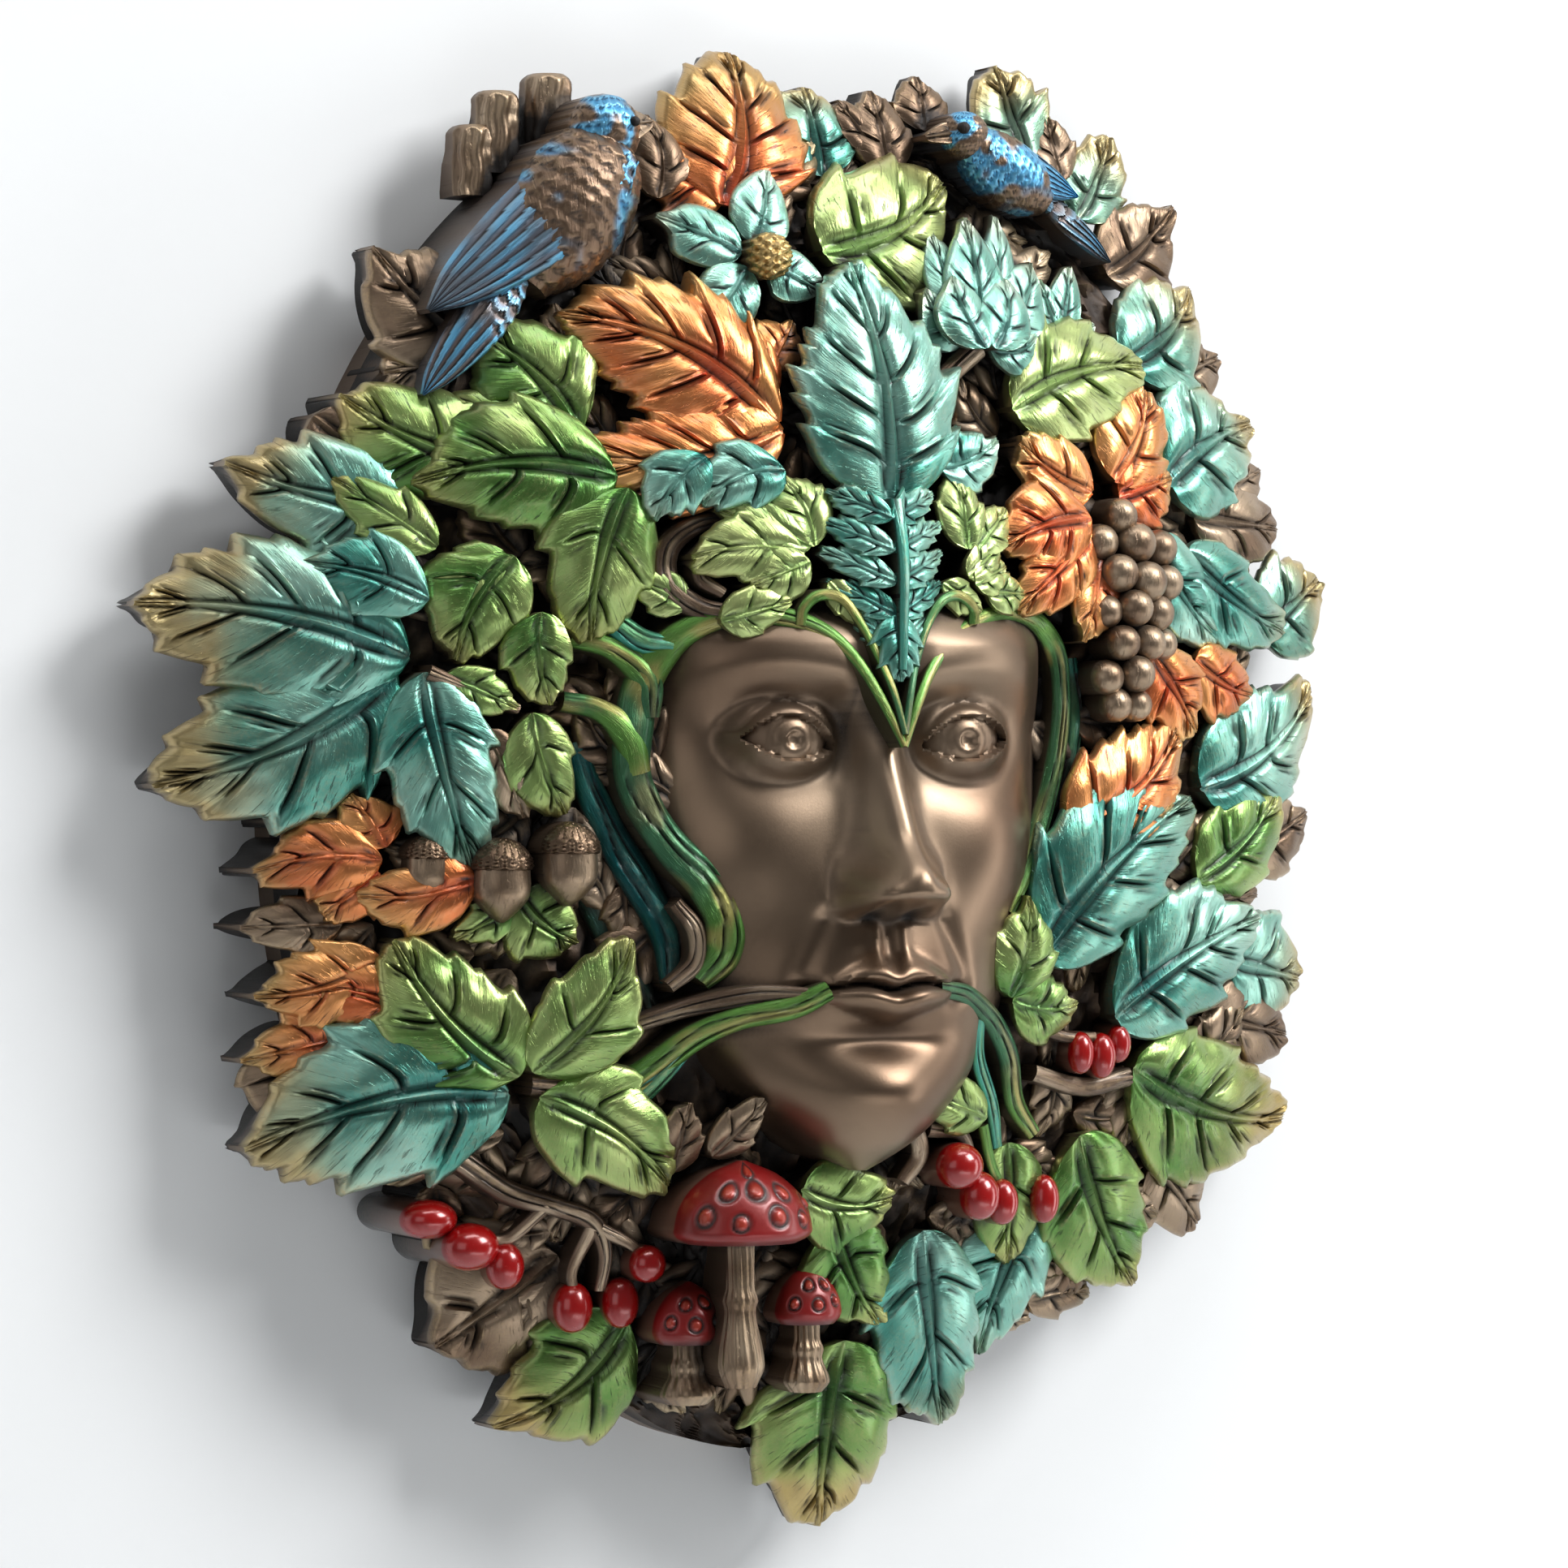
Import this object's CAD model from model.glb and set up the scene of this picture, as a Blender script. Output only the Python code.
import bpy, math
import numpy as np
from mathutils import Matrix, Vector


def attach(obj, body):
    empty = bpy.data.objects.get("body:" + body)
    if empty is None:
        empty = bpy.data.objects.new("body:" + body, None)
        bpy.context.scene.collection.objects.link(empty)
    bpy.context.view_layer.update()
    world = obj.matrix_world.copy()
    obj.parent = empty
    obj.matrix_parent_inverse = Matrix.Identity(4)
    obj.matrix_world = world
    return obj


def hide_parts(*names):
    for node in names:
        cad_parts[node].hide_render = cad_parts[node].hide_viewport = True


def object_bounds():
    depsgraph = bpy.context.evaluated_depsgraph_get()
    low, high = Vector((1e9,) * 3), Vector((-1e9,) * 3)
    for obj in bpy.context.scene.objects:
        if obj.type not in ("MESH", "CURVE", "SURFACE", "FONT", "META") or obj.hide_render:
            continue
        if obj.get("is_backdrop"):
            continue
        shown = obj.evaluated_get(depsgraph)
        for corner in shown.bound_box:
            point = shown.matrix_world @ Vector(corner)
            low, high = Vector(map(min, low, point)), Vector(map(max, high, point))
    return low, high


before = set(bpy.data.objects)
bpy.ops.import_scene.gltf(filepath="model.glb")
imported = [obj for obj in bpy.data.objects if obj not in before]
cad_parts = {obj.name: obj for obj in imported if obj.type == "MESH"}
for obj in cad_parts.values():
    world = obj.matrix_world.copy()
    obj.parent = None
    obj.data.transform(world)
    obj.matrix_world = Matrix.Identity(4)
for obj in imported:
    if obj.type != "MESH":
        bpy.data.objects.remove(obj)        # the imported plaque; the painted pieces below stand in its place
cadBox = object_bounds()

# Lengths are millimetres in the plaque's own frame: x to the right, z up, h out from the wall (h = -y).
# A lift is a height above the dome that the leaves lie on.
mm = 0.001


def smooth(value, low, high):
    share = np.clip((value - low) / (high - low), 0, 1)
    return share * share * (3 - 2 * share)


def bell(value, spread):
    return np.exp(-(value / spread) ** 2)


def mix(a, b, share):
    return a + (b - a) * share


def noise(x, z, size, seed):                # soft random waves between -1 and 1
    table = np.random.RandomState(seed).rand(64, 64) * 2 - 1
    a, b = x / size, z / size
    i, j = np.floor(a).astype(int), np.floor(b).astype(int)
    s, t = smooth(a - i, 0, 1), smooth(b - j, 0, 1)
    corner = lambda p, q: table[(i + p) % 64, (j + q) % 64]
    return mix(mix(corner(0, 0), corner(1, 0), s), mix(corner(0, 1), corner(1, 1), s), t)


def colour(red, green, blue):               # 0-255 as the eye reads it, to linear
    return np.array([(c / 255) ** 2.2 for c in (red, green, blue)])


def tint(a, b, share):
    return a + (b - a) * np.asarray(share, float)[..., None]


dome = {"centreX": 8, "halfWidth": 170, "halfHeight": 195, "rim": 20, "rise": 42, "power": 2.2}
bed = {"drop": 8, "reach": 0.8, "reachUp": 0.87, "roundness": 0.8, "narrowing": 0.3, "narrowFrom": 60,
       "narrowTo": 150, "rows": 190, "columns": 160, "foot": 11.4}
feet = {"clear": 0.7, "under": 22, "least": 4, "rimFrom": 0.768, "slantFrom": 0.8, "slantTo": 1.04,
        "slantHeight": 16}
paints = {
    "bronze": colour(116, 96, 80), "bronzeLight": colour(200, 180, 154), "bronzeDark": colour(56, 44, 36),
    "gold": colour(180, 152, 98), "teal": colour(70, 148, 132), "tealLight": colour(176, 222, 206),
    "tealDark": colour(14, 82, 84), "green": colour(92, 138, 66), "greenLight": colour(186, 200, 128),
    "greenDark": colour(26, 78, 36), "pale": colour(156, 176, 112), "orange": colour(206, 112, 62),
    "redOrange": colour(176, 56, 34), "amber": colour(240, 190, 118), "mint": colour(120, 178, 160),
    "blue": colour(48, 124, 176), "blueLight": colour(120, 190, 226), "red": colour(150, 14, 16),
    "capRed": colour(134, 26, 26), "olive": colour(130, 122, 78),
}


def domeReach(x, z):
    return np.hypot((x - dome["centreX"]) / dome["halfWidth"], z / dome["halfHeight"])


def domeHeight(x, z):
    return dome["rim"] + dome["rise"] * np.maximum(0, 1 - domeReach(x, z) ** dome["power"])


def footUnder(x, z, h):                     # how far back the wall of a form reaches
    reach = domeReach(x, z)
    slant = np.clip((reach - feet["slantFrom"]) / (feet["slantTo"] - feet["slantFrom"]), 0, 1)
    if (reach > feet["rimFrom"]).any():
        return np.minimum(feet["clear"] + feet["slantHeight"] * slant, h - 3)
    return np.maximum(feet["least"], domeHeight(x, z) - feet["under"])


# The camera stands to the viewer's left, level with the middle of the plaque.
view = {"turn": -25, "lift": 0, "distance": 1.5, "lens": 135, "aim": (0.001, -0.040, 0.0015)}
turn, lift = math.radians(view["turn"]), math.radians(view["lift"])
away = (math.sin(turn) * math.cos(lift), -math.cos(turn) * math.cos(lift), math.sin(lift))
bpy.ops.object.select_all(action="DESELECT")
bpy.ops.object.camera_add(location=[a + view["distance"] * b for a, b in zip(view["aim"], away)],
                          rotation=(math.pi / 2 - lift, 0, turn))
camera = bpy.context.object
camera.data.lens = view["lens"]
camera.data.sensor_width = 36
bpy.context.scene.camera = camera
bpy.context.scene.view_settings.view_transform = "Standard"
print("camera placed")


# A shader value with Python's own arithmetic
class Value:
    def __init__(self, make, socket):
        self.make, self.socket = make, socket

    def maths(self, operation, *others, clamp=False):
        sockets = {k: v for k, v in enumerate((self,) + others)}
        return self.make.node("ShaderNodeMath", {"operation": operation, "use_clamp": clamp}, sockets)

    def __add__(self, other): return self.maths("ADD", other)
    def __radd__(self, other): return self.maths("ADD", other)
    def __sub__(self, other): return self.maths("SUBTRACT", other)
    def __rsub__(self, other): return self.make.node("ShaderNodeMath", {"operation": "SUBTRACT"},
                                                     {0: other, 1: self})
    def __mul__(self, other): return self.maths("MULTIPLY", other)
    def __rmul__(self, other): return self.maths("MULTIPLY", other)
    def clipped(self): return self.maths("ADD", 0.0, clamp=True)


class Material:
    def __init__(self, name, settings):
        self.material = bpy.data.materials.new(name)
        self.material.use_nodes = True
        self.tree = self.material.node_tree
        self.shader = self.tree.nodes["Principled BSDF"]
        self.set(self.shader, settings)

    def set(self, node, sockets):
        for name, value in sockets.items():
            if isinstance(value, Value):
                self.tree.links.new(value.socket, node.inputs[name])
            else:
                node.inputs[name].default_value = value

    def node(self, kind, settings, sockets, output=0):
        node = self.tree.nodes.new(kind)
        for name, value in settings.items():
            setattr(node, name, value)
        self.set(node, sockets)
        return Value(self, node.outputs[output])

    def attribute(self, name, output="Fac"):
        return self.node("ShaderNodeAttribute", {"attribute_name": name}, {}, output)

    def mixed(self, share, a, b):
        shades = [shade if isinstance(shade, Value) else (*shade, 1) for shade in (a, b)]
        return self.node("ShaderNodeMix", {"data_type": "RGBA"}, {0: share, 6: shades[0], 7: shades[1]}, 2)

    def grain(self, size, roughness=0.55):
        place = self.node("ShaderNodeTexCoord", {}, {}, "Object")
        return self.node("ShaderNodeTexNoise", {}, {"Vector": place, "Scale": 1 / (size * mm), "Detail": 4.0,
                                                    "Roughness": roughness})

    def bump(self, height, distance):
        return self.node("ShaderNodeBump", {}, {"Height": height, "Distance": distance * mm})


# Metallic paint over the bronze casting: a dark wash lies in the hollows, and the paint is rubbed through
# to the metal on the edges. The colour, the wash and the rub are worked out with each form.
wash = {"colour": colour(24, 18, 15), "roughness": 0.6}


def castFinish(name, metallic=0.86, roughness=0.3, streak=0.0, coat=0.0, grainSize=1.1, grainDepth=0.05,
               rubColour="bronzeLight", rubShare=0.5, mottle=0.18):
    make = Material(name, {"Coat Weight": coat, "Coat Roughness": 0.16})
    paint = make.attribute("paint", "Color")
    hollow, worn = make.attribute("wash"), make.attribute("rub")
    cloud, speck = make.grain(9.0), make.grain(grainSize, 0.62)
    paint = make.mixed(((cloud - 0.5) * mottle * 4).clipped(), paint, paints["bronzeDark"] * 1.5)
    bright = ((speck - 0.42) * 3.0).clipped()
    height = speck * 0.6 + cloud * 0.4
    if streak:
        place = make.node("ShaderNodeUVMap", {"uv_map": "leafMap"}, {})
        place = make.node("ShaderNodeMapping", {}, {"Vector": place, "Scale": (1.0, 0.13, 1.0)})
        strokes = make.node("ShaderNodeTexNoise", {},
                            {"Vector": place, "Scale": 1.5, "Detail": 4.0, "Roughness": 0.65})
        cuts = ((0.41 - strokes) * 12.0).clipped() * streak
        hollow = (hollow + cuts * 0.4).clipped()
        height = height + strokes * 1.6 - cuts * 1.5
    worn = (worn * (0.3 + bright)).clipped() * rubShare
    body = make.mixed(worn, paint, make.mixed(speck, paints[rubColour], paints["gold"]))
    dark = (hollow * (1.3 - speck * 0.5)).clipped()
    matt = roughness + dark * (wash["roughness"] - roughness)
    body = make.mixed(dark, body, wash["colour"])
    make.set(make.shader, {"Base Color": body, "Metallic": metallic - dark * (metallic * 0.8),
                           "Roughness": matt + speck * 0.14 - 0.04,
                           "Normal": make.bump(height, grainDepth)})
    return make.material


leafFinish = castFinish("pearl leaf paint", streak=1.0, coat=0.3, grainDepth=0.09)
vineFinish = castFinish("pearl vine paint", streak=0.8, coat=0.25, grainDepth=0.09)
bronzeFinish = castFinish("cast bronze", metallic=0.92, roughness=0.34, mottle=0.12, grainSize=0.8,
                          streak=0.6, grainDepth=0.07)
faceFinish = castFinish("burnished bronze", metallic=0.94, roughness=0.33, mottle=0.10, grainSize=0.5,
                        grainDepth=0.03)
bedFinish = castFinish("bronze ground", metallic=0.6, roughness=0.5, grainDepth=0.2)
birdFinish = castFinish("pearl feather paint", streak=0.7, grainDepth=0.09)
berryFinish = castFinish("gloss berry paint", metallic=0.15, roughness=0.22, coat=0.8, mottle=0.08,
                         rubShare=0.1)
capFinish = castFinish("satin toadstool paint", metallic=0.25, roughness=0.36, coat=0.3, mottle=0.18,
                       rubShare=0.15)
print("finishes mixed")


# A form's front is a grid primitive moved to its shape; its feet and walls are added when it is cast.
def front(points, paint, dark, rub, foot, lines=None):
    rows, columns = points.shape[:2]
    bpy.ops.object.select_all(action="DESELECT")
    bpy.ops.mesh.primitive_grid_add(x_subdivisions=columns - 1, y_subdivisions=rows - 1, size=1)
    sheet = bpy.context.object
    mesh = sheet.data
    mesh.vertices.foreach_set("co", np.ascontiguousarray(points * mm, np.float32).ravel())
    shape = points.shape[:2]
    colours = np.ones(shape + (4,), np.float32)
    colours[..., :3] = np.clip(paint, 0, 1)
    mesh.attributes.new("paint", "FLOAT_COLOR", "POINT").data.foreach_set("color", colours.ravel())
    for name, value in (("wash", dark), ("rub", rub), ("foot", foot)):
        values = np.ascontiguousarray(np.broadcast_to(value, shape), np.float32)
        mesh.attributes.new(name, "FLOAT", "POINT").data.foreach_set("value", values.ravel())
    while mesh.uv_layers:
        mesh.uv_layers.remove(mesh.uv_layers[0])
    layer = mesh.uv_layers.new(name="leafMap")
    place = points[..., [0, 2]] if lines is None else lines
    corner = np.zeros(len(mesh.loops), np.int32)
    mesh.loops.foreach_get("vertex_index", corner)
    layer.data.foreach_set("uv", np.ascontiguousarray(place.reshape(-1, 2)[corner], np.float32).ravel())
    return sheet


def readPoints(mesh):
    points = np.zeros(len(mesh.vertices) * 3, np.float32)
    mesh.vertices.foreach_get("co", points)
    return points.reshape(-1, 3) / mm


def readValues(mesh, name):
    values = np.zeros(len(mesh.vertices), np.float32)
    mesh.attributes[name].data.foreach_get("value", values)
    return values


def writeSelected(mesh, height, shade, dark):
    chosen = np.zeros(len(mesh.vertices), bool)
    mesh.vertices.foreach_get("select", chosen)
    points = readPoints(mesh)
    points[chosen, 1] = height(points[chosen], readValues(mesh, "foot")[chosen])
    mesh.vertices.foreach_set("co", (points * mm).ravel())
    colours = np.zeros(len(mesh.vertices) * 4, np.float32)
    mesh.attributes["paint"].data.foreach_get("color", colours)
    colours = colours.reshape(-1, 4)
    colours[chosen, :3] = tint(colours[chosen, :3], paints["bronze"], np.full(chosen.sum(), shade))
    mesh.attributes["paint"].data.foreach_set("color", colours.ravel())
    values = readValues(mesh, "wash")
    values[chosen] = np.maximum(values[chosen], dark)
    mesh.attributes["wash"].data.foreach_set("value", values)
    mesh.update()


pieces = []


def join(sheets):
    bpy.ops.object.select_all(action="DESELECT")
    for sheet in sheets:
        sheet.select_set(True)
    bpy.context.view_layer.objects.active = sheets[0]
    if len(sheets) > 1:
        bpy.ops.object.join()
    return sheets[0]


# Joined fronts get a turned-down lip, walls back to their feet, and a closed back.
def cast(name, sheets, finish, slot, lip=1.2):
    piece = join(sheets)
    piece.name = piece.data.name = name
    steps = ((lambda p, foot: np.minimum(p[:, 1] + lip, -foot - 0.2), 0.75, 0.1),
             (lambda p, foot: -foot, 1.0, 0.35))
    bpy.ops.object.mode_set(mode="EDIT")
    bpy.ops.mesh.select_mode(type="EDGE")
    bpy.ops.mesh.select_all(action="DESELECT")
    bpy.ops.mesh.select_non_manifold(extend=False)
    for height, shade, dark in steps:
        bpy.ops.mesh.extrude_region_move()
        bpy.ops.object.mode_set(mode="OBJECT")
        writeSelected(piece.data, height, shade, dark)
        bpy.ops.object.mode_set(mode="EDIT")
    bpy.ops.mesh.fill_holes(sides=0)
    bpy.ops.mesh.select_all(action="SELECT")
    bpy.ops.mesh.normals_make_consistent(inside=False)
    bpy.ops.object.mode_set(mode="OBJECT")
    return keep(piece, finish, slot)


def keep(piece, finish, slot):
    bpy.ops.object.select_all(action="DESELECT")
    piece.select_set(True)
    bpy.context.view_layer.objects.active = piece
    bpy.ops.object.shade_smooth_by_angle(angle=math.radians(52))
    piece.data.materials.clear()
    piece.data.materials.append(finish)
    pieces.append((piece, slot))
    piece.data.calc_loop_triangles()
    print(f"{piece.name}: {len(piece.data.loop_triangles)} triangles")
    return piece


# A leaf lies on lines that follow its side veins, and its margin folds under on both sides. Each row is:
# base x, base z, tip x, tip z, width, lift at the base, lift at the tip, sideways bend.
leafForm = {"edgeDrop": 0.13, "arch": 0.07, "sweep": 2.1, "stem": 0.7, "veinGap": 12.5, "rib": 1.05,
            "broader": 1.1, "tuck": (0, 0.01, 0.16, 0.45), "foldBite": (1, 1, 0.5, 0),
            "foldDrop": (0, 1.5, 4.2, 9.5), "large": 19}
veinCell = {"large": [0, 0.045, 0.09, 0.14, 0.19, 0.25, 0.34, 0.45, 0.56, 0.67, 0.77, 0.85, 0.905, 0.955],
            "small": [0, 0.07, 0.15, 0.28, 0.45, 0.62, 0.78, 0.92], "tiny": [0, 0.12, 0.35, 0.65, 0.88]}
sideSteps = {"large": [0, 0.035, 0.075, 0.12, 0.18, 0.27, 0.37, 0.48, 0.6, 0.72, 0.82, 0.9, 0.955, 1],
             "small": [0, 0.07, 0.16, 0.3, 0.48, 0.66, 0.82, 0.93, 1],
             "tiny": [0, 0.12, 0.35, 0.65, 0.88, 1]}
toothShape = ([0, 0.05, 0.16, 0.5, 0.82, 0.94, 1], [0, -0.5, -0.55, -0.05, 0.4, 0.8, 0])
sideTooth = ([0, 0.2, 0.44, 0.52, 0.7, 1], [0, 0.05, 0.5, -0.25, 0, 0])


def leaf(row, look, seed, size=None):
    baseX, baseZ, tipX, tipZ, width, lift, tipLift, bend = row
    length = math.hypot(tipX - baseX, tipZ - baseZ)
    alongX, alongZ = (tipX - baseX) / length, (tipZ - baseZ) / length
    if size is None:
        size = "large" if width >= leafForm["large"] else "small"
    veins = int(np.clip(round(length / look.get("veinGap", leafForm["veinGap"])), 3, 6))
    luck = np.random.RandomState(seed).rand(2, veins + 2, 10)
    stations = np.array([(k + t) / veins for k in range(veins) for t in veinCell[size]] + [1.0])
    side = np.array(sideSteps[size] + [1.0, 1.0, 1.0])
    folds = np.array([0] * len(sideSteps[size]) + [1, 2, 3])
    across, folded = np.concatenate([-side[:0:-1], side]), np.concatenate([folds[:0:-1], folds])
    u, v = np.meshgrid(stations, across, indexing="ij")
    fold = np.broadcast_to(folded, u.shape)
    reach = np.abs(v)
    way = (v > 0).astype(int)
    cell = np.minimum(np.floor(u * veins + 1e-6), veins).astype(int)
    t = np.clip(u * veins - cell, 0, 1)
    gap = length / veins
    own = luck[way, cell + (t > 0.5)]        # each side vein's own numbers
    between = luck[way, cell]
    inner = smooth(u, 0.08, 0.16) * (1 - smooth(u, 0.8, 0.94))
    drift = (mix(luck[way, cell, 0], luck[way, cell + (cell < veins), 0], smooth(t, 0, 1)) - 0.5) * inner
    margin = 1 - (1 - u) ** leafForm["sweep"]
    a = u + (margin - u) * reach ** 1.25 + drift * 0.5 / veins * smooth(reach, 0, 0.35)
    blade = np.sin(np.pi * np.clip(margin, 0, 1) ** 0.8) ** 0.7
    half = np.maximum(leafForm["stem"], leafForm["broader"] * width / 2 * blade)
    edge = smooth(reach, 0.45, 1) ** 1.4
    teeth = (np.interp(t, *toothShape) * (0.45 + 1.1 * between[..., 1])
             + np.interp(t, *sideTooth) * (between[..., 2] > 0.4))
    bite = look["tooth"] * inner * edge * np.array(leafForm["foldBite"])[fold] * teeth
    wave = 0.06 * noise(u * 3 + seed, np.sign(v) * 2 + seed, 1, seed)
    narrowed = 1 - np.array(leafForm["tuck"])[fold]
    lateral = half * v * (1 + wave + bite) * narrowed
    a = a + bite * 0.35 * half / length * 2
    aside = bend * 4 * a * (1 - a)
    x = baseX + alongX * a * length + alongZ * (lateral + aside)
    z = baseZ + alongZ * a * length - alongX * (lateral + aside)

    scale = float(np.clip(width / 30, 0.42, 1.15))
    rib = leafForm["rib"] * scale * (1.3 - 0.9 * u)
    off = np.abs(lateral)
    pillow = smooth(reach, 0.0, 0.25) * (1 - 0.6 * smooth(reach, 0.7, 1))
    nearVein = np.minimum(t, 1 - t) * gap
    deep = look.get("cut", 1.0) * scale

    def stroke(distance, width, begin, end, shows=1.0):
        taper = smooth(reach, begin, begin + 0.14) * (1 - smooth(reach, end - 0.25, end))
        return bell(distance, width * max(scale, 0.55)) * taper * inner * shows

    first = stroke(nearVein, 0.42, 0.08 + 0.10 * own[..., 3], 0.74 + 0.24 * own[..., 4])
    beside = stroke((t - 0.19) * gap, 0.4, 0.22 + 0.2 * between[..., 5], 0.6 + 0.3 * between[..., 6],
                    between[..., 7] > 0.35)
    before = stroke((t - 0.86) * gap, 0.36, 0.3 + 0.2 * between[..., 8], 0.75 + 0.2 * between[..., 4],
                    between[..., 9] > 0.45)
    middle = stroke((t - 0.5) * gap, 0.5, 0.5 + 0.15 * between[..., 3], 0.95, between[..., 5] > 0.4)
    raised = stroke((np.minimum(t, 1 - t) - 0.09) * gap, 0.45, 0.05, 0.85)
    ribCut = bell(off - rib * 1.6, rib * 0.5) * smooth(u, 0.02, 0.1) * (1 - smooth(u, 0.88, 1))
    ribTop = bell(off, rib * 0.75) * (fold == 0)
    h = domeHeight(x, z) + mix(lift, tipLift, a) + leafForm["arch"] * length * np.sin(np.pi * np.clip(a, 0, 1))
    valley = look.get("valley", 1.5) * scale * bell(lateral, 0.25 * half + 0.5)
    h -= leafForm["edgeDrop"] * 2 * half * v * v + valley
    h += look["puff"] * gap * np.sin(np.pi * t) ** 0.8 * pillow + 0.4 * scale * raised
    h += scale * (1.2 * ribTop - 1.0 * ribCut)
    h -= deep * (1.5 * first + 1.0 * beside + 0.8 * before + 0.5 * middle)
    h += scale * smooth(reach, 0.3, 1) * (1.3 * noise(x, z, 8 * scale + 3, seed)
                                          + 0.8 * noise(x, z, 4, seed + 1))
    h += scale * (0.5 * bell(reach - 0.92, 0.05) - 1.1 * smooth(reach, 0.94, 1)) * (fold < 2)
    h -= np.array(leafForm["foldDrop"])[fold] * max(scale, 0.6)

    main, light, shade, end = (paints[name] for name in look["paint"])
    patch = noise(x, z, 13, seed + 3)
    paint = tint(main, light, np.clip(0.22 + 0.4 * patch + 0.8 * look.get("fade", 0.3) * (a - 0.4)
                                      + 0.25 * smooth(reach, 0.8, 1), 0, 1))
    paint = tint(paint, shade, np.clip(0.75 * bell(lateral, 0.3 * half) * (1 - a) + 0.5 * raised + 0.5 * first
                                       - 0.3 * patch, 0, 0.85))
    rim = smooth(domeReach(x, z) + 0.05 * noise(x, z, 9, seed + 5), 0.80, 1.0)
    worn = np.clip(rim * (0.25 + 0.75 * smooth(a, 0.4, 0.9)) + look.get("tipWear", 0.25) * smooth(a, 0.7, 1)
                   + 0.45 * smooth(reach, 0.8, 1) * rim
                   + 0.3 * smooth(noise(x, z, 6, seed + 8), 0.2, 0.9) * rim, 0, 1)
    paint = tint(paint, end, worn * 0.85)
    paint = tint(paint, paints["bronze"], np.array([0, 0.35, 0.85, 1])[fold])
    dark = np.clip(first + 0.85 * beside + 0.8 * before + 0.45 * middle + 0.9 * ribCut * (1 - 0.3 * u)
                   + np.array([0, 0.12, 0.5, 0.85])[fold], 0, 1)
    rub = np.clip(0.8 * ribTop * look.get("ribRub", 0.5) + 0.6 * raised + 0.9 * smooth(reach, 0.88, 0.97)
                  + 0.3 * np.sin(np.pi * t) ** 2 * pillow, 0, 1) * (fold < 2)
    lines = np.stack([u * length + seed * 7, lateral], -1)
    return front(np.stack([x, -h, z], -1), paint, dark, rub, footUnder(x, z, h), lines)


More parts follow.
